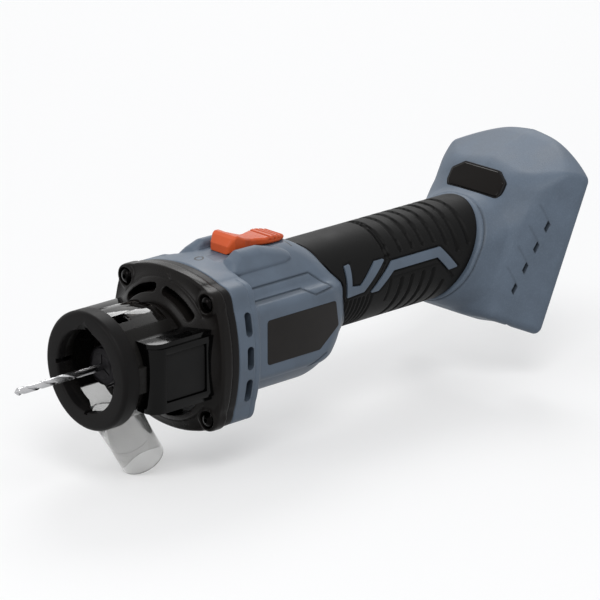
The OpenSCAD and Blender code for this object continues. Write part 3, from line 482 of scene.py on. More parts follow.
def quad_mesh(name, points, faces):
    """A mesh from arrays, faster than from lists."""
    mesh = bpy.data.meshes.new(name)
    mesh.vertices.add(len(points))
    mesh.vertices.foreach_set("co", (points * MM).astype(np.float32).ravel())
    mesh.loops.add(faces.size)
    mesh.loops.foreach_set("vertex_index", faces.astype(np.int32).ravel())
    mesh.polygons.add(len(faces))
    mesh.polygons.foreach_set("loop_start", (np.arange(len(faces)) * faces.shape[1]).astype(np.int32))
    mesh.update(calc_edges=True)
    mesh.validate()
    return add_object(name, mesh)


def paint(piece, name, values):
    """Keeps one number for each point of the mesh, for its material to read."""
    attribute = piece.data.attributes.get(name) or piece.data.attributes.new(name, "FLOAT", "POINT")
    attribute.data.foreach_set("value", np.asarray(values, np.float32))


def points_of(piece):
    """The points of a piece, in millimetres."""
    points = np.zeros(len(piece.data.vertices) * 3, np.float32)
    piece.data.vertices.foreach_get("co", points)
    return points.reshape(-1, 3).astype(float) / MM


def dressed(node, name, width, angle=38, segments=2):
    """A merged copy of a CAD node's mesh with its edges rounded."""
    piece = add_object(name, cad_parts[node].data.copy())
    piece.data.materials.clear()
    with edited(piece) as bm:
        bmesh.ops.remove_doubles(bm, verts=bm.verts, dist=0.004 * MM)
        bmesh.ops.dissolve_degenerate(bm, edges=bm.edges, dist=1e-7)
        bmesh.ops.dissolve_limit(bm, angle_limit=math.radians(1.0), verts=bm.verts, edges=bm.edges)
    for attribute in ("custom_normal", "sharp_face"):
        if attribute in piece.data.attributes:
            piece.data.attributes.remove(piece.data.attributes[attribute])
    return bevelled(piece, width, angle, segments)


# Materials

MATERIALS = {}


class Shading:
    """Makes the nodes of one tree and links them."""

    def __init__(self, tree):
        self.tree = tree

    def node(self, kind, feeds=(), **settings):
        """A new node; feeds holds values and links for its inputs, by name or by number."""
        made = self.tree.nodes.new(kind)
        for key, value in settings.items():
            setattr(made, key, value)
        for key, value in dict(feeds).items():
            self.feed(made.inputs[key], value)
        return made

    def feed(self, socket, value):
        """Links a socket to another, or gives it a value."""
        if isinstance(value, bpy.types.NodeSocket):
            self.tree.links.new(value, socket)
        else:
            socket.default_value = value

    def math(self, operation, *values):
        return self.node("ShaderNodeMath", enumerate(values), operation=operation).outputs[0]

    def mix(self, factor, a, b):
        """A blend of two colours, which are a Mix node's sockets 6 and 7; their result is its third."""
        return self.node("ShaderNodeMix", {0: factor, 6: a, 7: b}, data_type="RGBA").outputs[2]

    def ranged(self, value, low, high, to_low=0.0, to_high=1.0):
        """A value taken smoothly from one range to another."""
        feeds = enumerate((value, low, high, to_low, to_high))
        return self.node("ShaderNodeMapRange", feeds, interpolation_type="SMOOTHSTEP").outputs[0]

    def place(self):
        """Where the surface lies on its object."""
        return self.node("ShaderNodeTexCoord").outputs["Object"]

    def density(self, size):
        """How often a pattern of a size in millimetres repeats in a metre."""
        return self.math("DIVIDE", 1 / MM, size)

    def noise(self, scale, detail, rough, vector):
        feeds = {"Scale": scale, "Detail": detail, "Roughness": rough, "Vector": vector}
        return self.node("ShaderNodeTexNoise", feeds).outputs["Fac"]

    def bump(self, shader, height, strength, distance):
        """Raises the surface of a shader by a height."""
        feeds = {"Strength": strength, "Distance": distance, "Height": height}
        self.feed(shader.inputs["Normal"], self.node("ShaderNodeBump", feeds).outputs[0])


def shade_group(name, inputs, outputs):
    """An empty shader group: numbers with their defaults go in, and numbers come out."""
    tree = bpy.data.node_groups.new(name, "ShaderNodeTree")
    for label, default in inputs.items():
        socket = tree.interface.new_socket(name=label, in_out="INPUT", socket_type="NodeSocketFloat")
        socket.default_value = default
    for label in outputs:
        tree.interface.new_socket(name=label, in_out="OUTPUT", socket_type="NodeSocketFloat")
    s = Shading(tree)
    return s, s.node("NodeGroupInput").outputs, s.node("NodeGroupOutput").inputs


def grain_group():
    """The fine grain of a mould, and broad mottles in its gloss."""
    s, given, out = shade_group("Moulded grain", {"Grain size": 0.35, "Mottle size": 18.0, "Contrast": 0.5},
                                ("Grain", "Mottle"))
    place = s.place()
    fine = s.noise(s.density(given["Grain size"]), 2.0, 0.6, place)
    broad = s.noise(s.density(given["Mottle size"]), 4.0, 0.6, place)
    s.feed(out["Grain"], s.math("MULTIPLY", s.math("SUBTRACT", fine, 0.5), given["Contrast"]))
    s.feed(out["Mottle"], s.ranged(broad, 0.3, 0.7))
    return s.tree


def wear_and_shade_group():
    """Where edges are rubbed pale, and where painted shade darkens the hollows."""
    s, given, out = shade_group("Edge wear", {"Width": 0.5, "Break up": 0.5}, ("Edges", "Hollows"))
    point = s.node("ShaderNodeNewGeometry").outputs["Pointiness"]
    patches = s.noise(420.0, 5.0, 0.7, s.place())
    edge = s.ranged(point, s.math("SUBTRACT", 0.62, s.math("MULTIPLY", given["Width"], 0.16)), 0.66)
    kept = s.math("ADD", patches, s.math("MULTIPLY", given["Break up"], -0.3))
    s.feed(out["Edges"], s.math("MULTIPLY", edge, s.ranged(kept, 0.3, 0.62)))
    # Painted shade: the more a place curves inwards, the darker it is painted.
    s.feed(out["Hollows"], s.ranged(point, 0.495, 0.40))
    return s.tree


def lines_group():
    """The fine lines that turning leaves, and stained patches."""
    s, given, out = shade_group("Machined lines", {"Line size": 0.12, "Stretch": 40.0}, ("Lines", "Patches"))
    place = s.place()
    drawn_out = s.node("ShaderNodeMapping", {"Vector": place, "Scale": (1.0, 0.03, 0.03)}).outputs[0]
    s.feed(out["Lines"], s.noise(s.density(given["Line size"]), 2.0, 0.5, drawn_out))
    s.feed(out["Patches"], s.noise(s.density(given["Stretch"]), 4.0, 0.6, place))
    return s.tree


def sparkle_group():
    """Small facets, some of them bright."""
    s, given, out = shade_group("Sparkle", {"Speck size": 0.5, "Amount": 0.5}, ("Specks", "Height"))
    cells = s.node("ShaderNodeTexVoronoi", {"Vector": s.place(), "Scale": s.density(given["Speck size"])},
                   feature="F1")
    tone = s.node("ShaderNodeSeparateColor", {0: cells.outputs["Color"]}).outputs[0]
    s.feed(out["Specks"], s.math("MULTIPLY", s.ranged(tone, 0.55, 0.95), given["Amount"]))
    s.feed(out["Height"], s.ranged(cells.outputs["Distance"], 0.0, 0.6, 1.0, 0.0))
    return s.tree


def marks_group():
    """A ring and a bar on top of the housing, where the switch is off and on; lengths in metres."""
    s, given, out = shade_group("Switch marks", {"Ring x": 0.0613, "Ring y": -0.001, "Ring radius": 0.0017,
                                                 "Bar x": 0.1037, "Bar y": -0.0094, "Bar length": 0.0034,
                                                 "Line width": 0.0008}, ("Marks",))
    x, y, z = s.node("ShaderNodeSeparateXYZ", {0: s.place()}).outputs
    across = s.math("SUBTRACT", y, given["Ring y"])
    along = s.math("SUBTRACT", x, given["Ring x"])
    square = s.math("ADD", s.math("MULTIPLY", along, along), s.math("MULTIPLY", across, across))
    ring = s.math("ABSOLUTE", s.math("SUBTRACT", s.math("SQRT", square), given["Ring radius"]))
    bar = s.math("ABSOLUTE", s.math("SUBTRACT", x, given["Bar x"]))
    beside = s.math("ABSOLUTE", s.math("SUBTRACT", y, given["Bar y"]))
    past = s.math("SUBTRACT", beside, s.math("DIVIDE", given["Bar length"], 2.0))
    line = s.math("MINIMUM", ring, s.math("MAXIMUM", bar, past))
    thin = s.math("LESS_THAN", line, s.math("DIVIDE", given["Line width"], 2.0))
    s.feed(out["Marks"], s.math("MULTIPLY", thin, s.math("GREATER_THAN", z, 0.024)))
    return s.tree


def build_groups():
    """The effects that several finishes share."""
    # Besides rubbing edges pale, the wear group paints shade into the hollows.
    return {"grain": grain_group(), "wear": wear_and_shade_group(), "lines": lines_group(), "sparkle": sparkle_group(),
            "marks": marks_group()}


def toned(base, factor, lift=0.0):
    """A colour made darker or paler."""
    return tuple(min(1.0, c * factor + lift) for c in base[:3]) + (1.0,)


def placed(shading, tree, **values):
    """A group node with its own values; spaces in socket names are written as underscores."""
    made = shading.node("ShaderNodeGroup", node_tree=tree)
    for key, value in values.items():
        shading.feed(made.inputs[key.replace("_", " ")], value)
    return made.outputs


def material(name, base, roughness=0.5, metallic=0.0, **fixed):
    """A new material: its tree, its shader and the colour it starts from."""
    made = bpy.data.materials.new(name)
    made.use_nodes = True
    shader = made.node_tree.nodes["Principled BSDF"]
    for key, value in dict(fixed, Base_Color=base, Roughness=roughness, Metallic=metallic).items():
        shader.inputs[key.replace("_", " ")].default_value = value
    MATERIALS[name] = made
    return Shading(made.node_tree), shader


def plastic(groups, name, base, roughness, grain=0.35, bump=0.12, tone=0.10, wear=0.35, shine=0.1,
            sparkle=0.0, grooves=False, marks=False):
    """Moulded plastic or rubber: grain, uneven gloss, paler worn edges, and painted shade in the hollows
    and, where asked, in the grooves.
    """
    s, shader = material(name, base, roughness, Specular_IOR_Level=shine)
    surface = placed(s, groups["grain"], Grain_size=grain, Mottle_size=18.0, Contrast=1.0)
    edges = placed(s, groups["wear"], Width=0.5, Break_up=0.45)
    tinted = s.mix(surface["Mottle"], toned(base, 1 - tone), toned(base, 1 + tone))
    tinted = s.mix(s.math("MULTIPLY", edges["Edges"], wear), tinted, toned(base, 0.925, 0.0995))
    # Painted shade: the hollows are darkened.
    tinted = s.mix(s.math("MULTIPLY", edges["Hollows"], 0.7), tinted, toned(base, 0.55))
    height = surface["Grain"]
    if sparkle:
        specks = placed(s, groups["sparkle"], Speck_size=0.55, Amount=sparkle)
        tinted = s.mix(s.math("MULTIPLY", specks["Specks"], 0.5), tinted, toned(base, 1.7, 0.03))
        height = s.math("ADD", height, s.math("MULTIPLY", specks["Height"], 0.6))
    if grooves:
        # Painted shade: the groove attribute darkens grooves, slots, rib troughs and the walls inside the
        # housing.
        line = s.node("ShaderNodeAttribute", attribute_name="groove").outputs["Fac"]
        tinted = s.mix(s.math("MULTIPLY", line, 0.75), tinted, toned(base, 0.28))
    if marks:
        tinted = s.mix(placed(s, groups["marks"])["Marks"], tinted, toned(base, 0.14))
    rough = s.math("ADD", s.math("MULTIPLY", surface["Mottle"], 0.08), roughness - 0.04)
    rough = s.math("ADD", rough, s.math("MULTIPLY", surface["Grain"], 0.16))
    s.feed(shader.inputs["Base Color"], tinted)
    s.feed(shader.inputs["Roughness"], rough)
    s.bump(shader, height, bump, 0.0003)


def metal(groups, name, base, roughness, line=0.12, bump=0.06, wear=0.4):
    """Machined metal: fine lines along the turning, stained patches and brighter edges."""
    s, shader = material(name, base, roughness, 1.0)
    turning = placed(s, groups["lines"], Line_size=line, Stretch=22.0)
    edges = placed(s, groups["wear"], Width=0.6, Break_up=0.3)
    tinted = s.mix(s.ranged(turning["Patches"], 0.3, 0.75), toned(base, 0.72), base)
    tinted = s.mix(s.math("MULTIPLY", edges["Edges"], wear), tinted, toned(base, 1.25, 0.03))
    rough = s.math("ADD", s.math("MULTIPLY", turning["Lines"], 0.14), roughness - 0.07)
    rough = s.math("ADD", rough, s.math("MULTIPLY", turning["Patches"], 0.06))
    s.feed(shader.inputs["Base Color"], tinted)
    s.feed(shader.inputs["Roughness"], rough)
    s.bump(shader, turning["Lines"], bump, 0.0002)


def clear(groups, name, base, roughness, transmission):
    """Clear plastic: faint flow marks and a little haze in its gloss."""
    s, shader = material(name, base, roughness, IOR=1.46, Transmission_Weight=transmission)
    surface = placed(s, groups["grain"], Grain_size=1.4, Mottle_size=9.0, Contrast=1.0)
    haze = s.math("ADD", s.math("MULTIPLY", surface["Mottle"], 0.03), roughness)
    s.feed(shader.inputs["Base Color"], s.mix(surface["Mottle"], toned(base, 0.93), base))
    s.feed(shader.inputs["Roughness"], haze)
    s.bump(shader, surface["Grain"], 0.03, 0.0002)


# How much light plastics with a stronger gloss, and those inside the tool, throw back
BLUE_SHINE = 0.33
INNER_SHINE = 0.5


def build_materials(colours):
    """Every finish of the tool."""
    groups = build_groups()
    housing, grip, cover = tuple(colours.housing), tuple(colours.grip), tuple(colours.cover)
    switch, label, steel = tuple(colours.switch), tuple(colours.label), tuple(colours.steel)
    plastic(groups, "housing_plastic", housing, 0.47, shine=BLUE_SHINE, grooves=True, marks=True)
    plastic(groups, "foot_plastic", housing, 0.50, grain=0.5, bump=0.2, sparkle=0.16, shine=BLUE_SHINE,
            grooves=True)
    plastic(groups, "grip_rubber", grip, 0.50, grain=0.3, bump=0.16, wear=0.18, grooves=True)
    plastic(groups, "cover_satin", cover, 0.3, grain=0.4, bump=0.06, wear=0.12)
    plastic(groups, "ring_matte", seen(19, 18, 18), 0.48, grain=0.4, wear=0.2, shine=0.08)
    plastic(groups, "guide_satin", seen(24, 23, 22), 0.28, grain=0.5, bump=0.05, wear=0.2)
    plastic(groups, "gasket_rubber", seen(16, 15, 15), 0.40, grain=0.4, bump=0.1, wear=0.15)
    plastic(groups, "gloss_black", seen(4, 4, 4), 0.08, grain=0.9, bump=0.015, tone=0.05, wear=0.1,
            shine=0.13)
    plastic(groups, "pad_satin", seen(27, 27, 27), 0.42, grain=0.3, bump=0.1, wear=0.12, shine=0.08)
    plastic(groups, "switch_orange", switch, 0.42, bump=0.1, tone=0.06, shine=0.3, grooves=True)
    plastic(groups, "label_sheet", label, 0.36, grain=0.22, bump=0.05, tone=0.08, wear=0.1)
    plastic(groups, "lens_gloss", seen(20, 17, 15), 0.1, grain=1.2, bump=0.01, tone=0.05, wear=0.05)
    plastic(groups, "dark_plastic", seen(24, 24, 25), 0.45, wear=0.2)
    plastic(groups, "white_plastic", seen(205, 202, 192), 0.45, tone=0.04, wear=0.1, shine=INNER_SHINE)
    plastic(groups, "board_coat", seen(24, 92, 52), 0.3, grain=0.8, bump=0.1, wear=0.1, shine=INNER_SHINE)
    plastic(groups, "lead_red", seen(150, 30, 28), 0.4, wear=0.1, shine=INNER_SHINE)
    plastic(groups, "lead_black", seen(26, 26, 26), 0.4, wear=0.1, shine=INNER_SHINE)
    metal(groups, "bright_steel", steel, 0.2)
    metal(groups, "dark_steel", seen(34, 33, 35), 0.34)
    metal(groups, "screw_black", seen(16, 15, 15), 0.12, wear=0.15)
    metal(groups, "sheet_stack", seen(150, 150, 152), 0.4, line=0.5, bump=0.5)
    metal(groups, "magnet_plate", seen(120, 120, 124), 0.3)
    metal(groups, "copper_wire", seen(190, 112, 62), 0.3, line=0.8, bump=0.7)
    metal(groups, "alloy", seen(190, 191, 194), 0.36)
    metal(groups, "contact_brass", seen(214, 178, 104), 0.28)
    clear(groups, "smoked_clear", seen(52, 48, 45), 0.05, 0.9)
    clear(groups, "clear_plastic", seen(214, 214, 213), 0.03, 0.86)


def wearing(piece, name, body, *nodes, slot=None, angle=32):
    """The last step of a piece: its finish, its body, and the CAD nodes that it stands for."""
    piece.data.materials.clear()
    piece.data.materials.append(MATERIALS[name])
    mesh = piece.data
    mesh.polygons.foreach_set("use_smooth", np.ones(len(mesh.polygons), bool))
    mesh.set_sharp_from_angle(angle=math.radians(angle))
    mesh.update()
    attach(piece, body)
    if nodes:
        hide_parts(*nodes)
    return piece


def both_sides(piece, finish, nodes, slot, angle=32):
    """The last step of a piece of the left side and of its mirror image, the right side's."""
    twin = mirrored(piece, piece.name.replace("left", "right"))
    wearing(piece, finish, "tool_body", *nodes[:1], slot=slot, angle=angle)
    wearing(twin, finish, "tool_body", *nodes[1:], slot=slot, angle=angle)


def shape_group(name, inputs):
    """An empty geometry tree with named inputs."""
    tree = bpy.data.node_groups.new(name, "GeometryNodeTree")
    for label, kind in inputs.items():
        tree.interface.new_socket(name=label, in_out="INPUT", socket_type="NodeSocket" + kind)
    tree.interface.new_socket(name="Geometry", in_out="OUTPUT", socket_type="NodeSocketGeometry")
    s = Shading(tree)
    return s, s.node("NodeGroupInput").outputs


def close_tree(s, shape, finish):
    """Ends a geometry tree with real copies and their finish, as the export needs them."""
    real = s.node("GeometryNodeRealizeInstances", {0: shape})
    coat = s.node("GeometryNodeSetMaterial", {"Geometry": real.outputs[0], "Material": finish})
    s.node("NodeGroupOutput", {0: coat.outputs[0]})
    return s.tree


def repeat_tree():
    """Geometry nodes that set copies of a piece round the spindle's direction, or along a line."""
    s, given = shape_group("Repeated piece", {"Piece": "Object", "Count": "Int", "Radius": "Float",
                                              "Start angle": "Float", "Start": "Vector", "Step": "Vector",
                                              "Finish": "Material"})
    line = s.node("GeometryNodeMeshLine", {"Count": given["Count"], "Offset": (0, 0, 0)}, mode="OFFSET")
    number = s.node("GeometryNodeInputIndex").outputs[0]
    share = s.math("DIVIDE", s.math("MULTIPLY", number, 2 * math.pi), given["Count"])
    angle = s.math("ADD", share, given["Start angle"])
    ring = s.node("ShaderNodeCombineXYZ", {1: s.math("MULTIPLY", s.math("COSINE", angle), given["Radius"]),
                                           2: s.math("MULTIPLY", s.math("SINE", angle), given["Radius"])})
    row = s.node("ShaderNodeVectorMath", {0: given["Step"], 1: number, 2: given["Start"]},
                 operation="MULTIPLY_ADD")
    place = s.node("ShaderNodeVectorMath", {0: ring.outputs[0], 1: row.outputs[0]}, operation="ADD")
    put = s.node("GeometryNodeSetPosition", {"Geometry": line.outputs[0], "Position": place.outputs[0]})
    on_ring = s.math("GREATER_THAN", given["Radius"], 0.0)
    turn = s.node("ShaderNodeCombineXYZ", {0: s.math("MULTIPLY", angle, on_ring)})
    shape = s.node("GeometryNodeObjectInfo", {"Object": given["Piece"]})
    copies = s.node("GeometryNodeInstanceOnPoints", {"Points": put.outputs[0],
                                                     "Instance": shape.outputs["Geometry"],
                                                     "Rotation": turn.outputs[0]})
    return close_tree(s, copies.outputs[0], given["Finish"])


def spring_tree():
    """Geometry nodes that wind a wire into springs along a direction."""
    s, given = shape_group("Wound spring", {"Turns": "Float", "Radius": "Float", "Length": "Float",
                                            "Wire": "Float", "Finish": "Material"})
    coil = s.node("GeometryNodeCurveSpiral", {"Resolution": 14, "Rotations": given["Turns"],
                                              "Start Radius": given["Radius"],
                                              "End Radius": given["Radius"], "Height": given["Length"]})
    wire = s.node("GeometryNodeCurvePrimitiveCircle", {"Resolution": 8, "Radius": given["Wire"]})
    skin = s.node("GeometryNodeCurveToMesh", {"Curve": coil.outputs[0], "Profile Curve": wire.outputs[0],
                                              "Fill Caps": True})
    return close_tree(s, skin.outputs[0], given["Finish"])


def grown_by_nodes(name, tree, **values):
    """A plain mesh from a geometry tree, whose inputs are set by their identifiers."""
    piece = add_object(name, bpy.data.meshes.new(name))
    step = piece.modifiers.new("nodes", "NODES")
    step.node_group = tree
    sockets = {item.name: item.identifier for item in tree.interface.items_tree if item.in_out == "INPUT"}
    for key, value in values.items():
        step[sockets[key.replace("_", " ")]] = value
    return finished_mesh(piece)


def repeated(name, item, finish, count, radius=0.0, start_angle=0.0, start=(0, 0, 0), step=(0, 0, 0)):
    """Copies of an item: round a ring of the given radius, or in a row."""
    tree = bpy.data.node_groups.get("Repeated piece") or repeat_tree()
    piece = grown_by_nodes(name, tree, Piece=item, Count=count, Radius=radius * MM,
                           Start_angle=math.radians(start_angle), Start=tuple(v * MM for v in start),
                           Step=tuple(v * MM for v in step), Finish=MATERIALS[finish])
    bpy.data.objects.remove(item)
    return piece


# Motor housing

# Angle round the handle, upwards from the side, against the housing's rear edge and its slope
REAR_EDGE = [(-90, 137), (-70, 134), (-50, 129.9), (-20, 124.7), (-2, 123.1), (10, 123.2), (16, 122.6),
             (30, 118.4), (43, 115.9), (62, 114.2), (80, 112.8), (90, 111.5)]
REAR_SLOPE = [(-90, 1.65), (-50, 1.5), (-10, 1.0), (43, 1.0), (62, 1.5), (90, 2.0)]

# The thin grooves of the housing's side, and the wings beside the switch, as (along, up) points
STEP_LINE = [(68.5, 20.0), (95.5, 20.0), (100.0, 17.5), (110.0, 18.5), (103.0, 24.5), (69.0, 24.5)]
LOW_LINE = [(68.0, -13.8), (95.0, -13.8), (105.6, -9.2)]
WING = [(67.2, 31.9), (68.2, 31.3), (94.2, 31.3), (96.8, 32.0), (94.0, 33.2), (83.3, 36.2), (73.0, 36.4),
        (68.8, 33.9)]

# The front band: its ends along the tool, half its width, its screw lobes and its edges
BAND = (53.9, 66.0)
BAND_HALF, BAND_LOBE, BAND_EDGE = 34.0, 4.5, 0.9
ARC_SHIFT = 37.7

# The barrel behind it: its start, its lower round, and the upper one, which widens backwards
BARREL_FROM = 54.6
LOW_R = 27.8
HIGH_R, HIGH_FRONT_R, HIGH_WIDENING = 27.2, 23.7, 0.22
FLAT_HALF, FLAT_UP, FLAT_AT = 31.0, 17.0, 3
CREASE_AT = 62.9

# The room inside: for the cover's seat, the motor, the handle, the switch's link and its stem
SEAT_R, SEAT_TO = 30.4, 66.5
MOTOR_R, MOTOR_FROM, MOTOR_TO = 25.2, 60.0, 115.0
HANDLE_R = 16.4
LINK_ROOM = ((71.2, 116.0), 7.3, (24.0, 31.6))
STEM_ROOM = ((75.7, 96.3), 3.2, (30.0, 36.0))
SWITCH_BED = ((64.5, 109.0), 8.3, 34.6)

# The three slots at each side of the band
SLOT_AT, SLOT_UP, SLOT_HALF, SLOT_ROUND = 60, 14.3, (1.7, 5.0), 1.65


def read_off(table, at):
    """The value that a table of (place, value) rows gives at a place."""
    return np.interp(at, [row[0] for row in table], [row[1] for row in table])


def squircle(y, z, half, lobe):
    """Section of the front: four shallow arcs, rounded corners and the screws' lobes."""
    y, z = np.abs(y), np.abs(z)
    arc = half + ARC_SHIFT
    d = meet(np.hypot(y + ARC_SHIFT, z) - arc, np.hypot(y, z + ARC_SHIFT) - arc, 7.0)
    return join(d, np.hypot(y - SCREW_AT, z - SCREW_AT) - lobe, 3.0)


def rear_close(x, y, z):
    """Distance to the housing's rear edge, which waves round the handle."""
    across, up = np.abs(y), z - HANDLE_Z
    angle = np.degrees(np.arctan2(up, across))
    edge, slope = read_off(REAR_EDGE, angle), read_off(REAR_SLOPE, angle)
    return (x - (edge - slope * (np.hypot(across, up) - 22.0))) / np.sqrt(1 + slope * slope)


def crease(distance, width):
    """One in the middle of a line, falling to nothing at its edges."""
    return np.clip(1 - distance / width, 0, 1) ** 0.7


def housing_lines(x, y, z):
    """Where the thin grooves of the housing's side lie."""
    side = np.clip((np.abs(y) - 18) / 3, 0, 1)
    lines = np.minimum(line_distance(x, z, STEP_LINE), line_distance(x, z, LOW_LINE))
    return crease(lines, 0.55) * side


def hollowed(whole, x, y, z):
    """The housing's field with the room for the pieces inside it."""
    side, rho = np.abs(y), np.hypot(y, z)
    whole = np.maximum(whole, -np.maximum(rho - SEAT_R, x - SEAT_TO))
    whole = np.maximum(whole, -np.maximum(rho - MOTOR_R, slab(x, MOTOR_FROM, MOTOR_TO)))
    for (front, rear), half, (low, high) in (LINK_ROOM, STEM_ROOM):
        room = np.maximum(slab(x, front, rear), slab(z, low, high))
        whole = np.maximum(whole, -np.maximum(side - half, room))
    handle = np.hypot(y, z - HANDLE_Z) - HANDLE_R
    return np.maximum(whole, -np.maximum(handle, MOTOR_TO - x))


def housing_field(shapes):
    """The motor housing: front band, barrel, wings beside the switch, grooves and room inside."""
    fillet_r, edge_r = shapes.band_fillet / MM, shapes.edge_round / MM

    def field(x, y, z):
        side = np.abs(y)
        band = meet(squircle(y, z, BAND_HALF, BAND_LOBE), slab(x, *BAND), BAND_EDGE)
        low = np.hypot(y, z) - LOW_R
        widening = np.minimum(HIGH_R, HIGH_FRONT_R + HIGH_WIDENING * (x - 54.0))
        high = np.hypot(y, z - HANDLE_Z) - widening
        flats = round_box(y, z - FLAT_AT, FLAT_HALF, FLAT_UP, 4.0)
        body = join(join(low, high, 3.0), flats, 2.0)
        body = meet(body, rear_close(x, y, z), 3.2)
        whole = join(band, meet(body, BARREL_FROM - x, 0.4), fillet_r)
        flank = (side - 19.3 + 0.66 * (z - 29.5)) / 1.2
        wing = meet(polygon_distance(x, z, WING) - 2.0, meet(flank, 8.5 - side, 0.8), 2.4 * edge_r)
        whole = join(whole, wing, 0.35)
        (front, rear), half, floor = SWITCH_BED
        bed = meet(slab(x, front, rear), np.maximum(side - half, floor - z), 0.5)
        whole = carve(whole, bed, 0.5)
        lines = 0.6 * housing_lines(x, y, z) + 0.35 * crease(np.abs(x - CREASE_AT), 0.5) * (side > 22)
        whole = whole + lines + 0.25 * crease(side, 0.5) * (z > 30)
        return hollowed(whole, x, y, z)
    return field


def half_of(piece):
    """The part of a piece on the visible side of the middle plane, its cut closed."""
    with edited(piece) as bm:
        found = bmesh.ops.bisect_plane(bm, geom=bm.verts[:] + bm.edges[:] + bm.faces[:], dist=1e-7,
                                       plane_co=(0, 0, 0), plane_no=(0, 1, 0), clear_outer=True)
        rim = [e for e in found["geom_cut"] if isinstance(e, bmesh.types.BMEdge)]
        bmesh.ops.triangle_fill(bm, edges=rim, use_beauty=False, use_dissolve=False)
        bmesh.ops.recalc_face_normals(bm, faces=bm.faces)
    return piece


def make_housing(shapes):
    """The two halves of the motor housing."""
    step = shapes.body_step / MM * 1
    piece = half_of(field_piece("motor_housing_left", housing_field(shapes), (53, -37, -37), (140, 1.2, 41),
                                step))
    slots = []
    half_x, half_z = SLOT_HALF
    for z in (-SLOT_UP, 0, SLOT_UP):
        outline = [(SLOT_AT + along * half_x, z + up * half_z)
                   for along, up in ((-1, -1), (1, -1), (1, 1), (-1, 1))]
        slots.append(rounded_prism("slot", fillet(outline, SLOT_ROUND, 6), -40, -28, 0, "y"))
    cut(piece, joined("slots", slots))
    # Painted shade through the groove attribute: the thin grooves, the walls inside the housing and the
    # walls of its slots are darkened.
    x, y, z = points_of(piece).T
    rho = np.hypot(y, z)
    shaded_inside = ((rho < SEAT_R + 0.2) & (x < SEAT_TO + 0.1)) | ((rho < MOTOR_R + 0.2) & (x > MOTOR_FROM))
    nearest = np.where(np.abs(z) > SLOT_UP / 2, np.abs(np.abs(z) - SLOT_UP), np.abs(z))
    shaded_slot_wall = (round_box(x - SLOT_AT, nearest, *SLOT_HALF, SLOT_ROUND) < 0.06) & (np.abs(y) > 30)
    paint(piece, "groove", np.maximum(np.maximum(housing_lines(x, y, z), shaded_inside), 0.85 * shaded_slot_wall))
    both_sides(piece, "housing_plastic", ("housing_left", "housing_right"), "housing_blue", 42)


# Foot

# Planes of the foot's skin in its leaning frame: how each faces along, sideways and up, and how far out
# it lies
FOOT_FRONT = (-1.0, 0.0, 0.0, 1.5)
FOOT_CHIN = (-0.99, 0.0, 0.138, 4.24)
FOOT_CORNER = (-0.786, 0.619, 0.05, 14.8)
FOOT_SLOPE = (-0.70, 0.0, 0.712, 26.8)
FOOT_SHOULDER = (-0.6626, 0.2066, 0.7197, 27.7)
FOOT_EAVE = (0.0, 0.63, 0.7766, 58.0)
FOOT_BOTTOM = (0.0, 0.0, -1.0, 29.0)
FOOT_REAR = (1.0, 0.0, 0.0, 25.6)
ROOF_TOP, ROOF_ARCH = 58.4, 0.005

# The foot's sides, which widen backwards up to its full width
PANEL_FRONT, PANEL_WIDENING, PANEL_REAR = 28.0, 0.5, 40.0

# The flare behind the handle: its middle, its length, and its half sizes at the rim and grown out
FLARE_AT = (-12.2, -5.6)
FLARE_LENGTH, FLARE_RISE, FLARE_CORNER = 15.0, 5.95, 12.0
FLARE_Y, FLARE_Z = (23.2, 4.6), (24.0, 5.5)

# The foot's rooms in its leaning frame: for the light's board, the battery and the terminals
BOARD_ROOM = ((6.0, -26.0, -24.0), (8.6, 26.0, 27.0))
BAY_MOUTH = [(-31.5, -40.0), (31.5, -40.0), (31.5, 29.0), (18.0, 39.0), (-18.0, 39.0), (-31.5, 29.0)]
PORT = ((4.0, -13.2, -0.2), (13.0, 13.2, 32.2))
RAIL = ((18.0, -31.7, -27.0), (22.5, -29.5, 34.0))

# The light's lens: its outline, and its place and lean in the foot's frame
LENS_OUTLINE = [(-15.35, -6.35), (15.35, -6.35), (16.55, -3.6), (16.55, 2.0), (10.45, 6.35), (-10.45, 6.35),
                (-16.55, 2.0), (-16.55, -3.6)]
LENS_AT = (-0.5, 28.2)
LENS_LEAN = math.radians(7.9)


def foot_skin(soft, u, side, w):
    """The foot without its flare; u runs along its leaning frame and w up."""
    def plane(faces):
        along, sideways, up, out = faces
        return along * u + sideways * side + up * w - out
    front = meet(plane(FOOT_FRONT), plane(FOOT_CHIN), 0.6)
    front = meet(front, plane(FOOT_CORNER), soft)
    nose = meet(front, meet(plane(FOOT_SLOPE), plane(FOOT_SHOULDER), 7.0), soft * 0.6)
    roof = meet(plane(FOOT_EAVE), w - ROOF_TOP + ROOF_ARCH * side * side, 8.0)
    panel = meet((side - PANEL_FRONT - PANEL_WIDENING * u) / 1.118, side - PANEL_REAR, 1.0)
    whole = meet(meet(nose, roof, 5.0), panel, 1.5)
    whole = meet(whole, plane(FOOT_BOTTOM), 4.0)
    return meet(whole, plane(FOOT_REAR), 1.0)


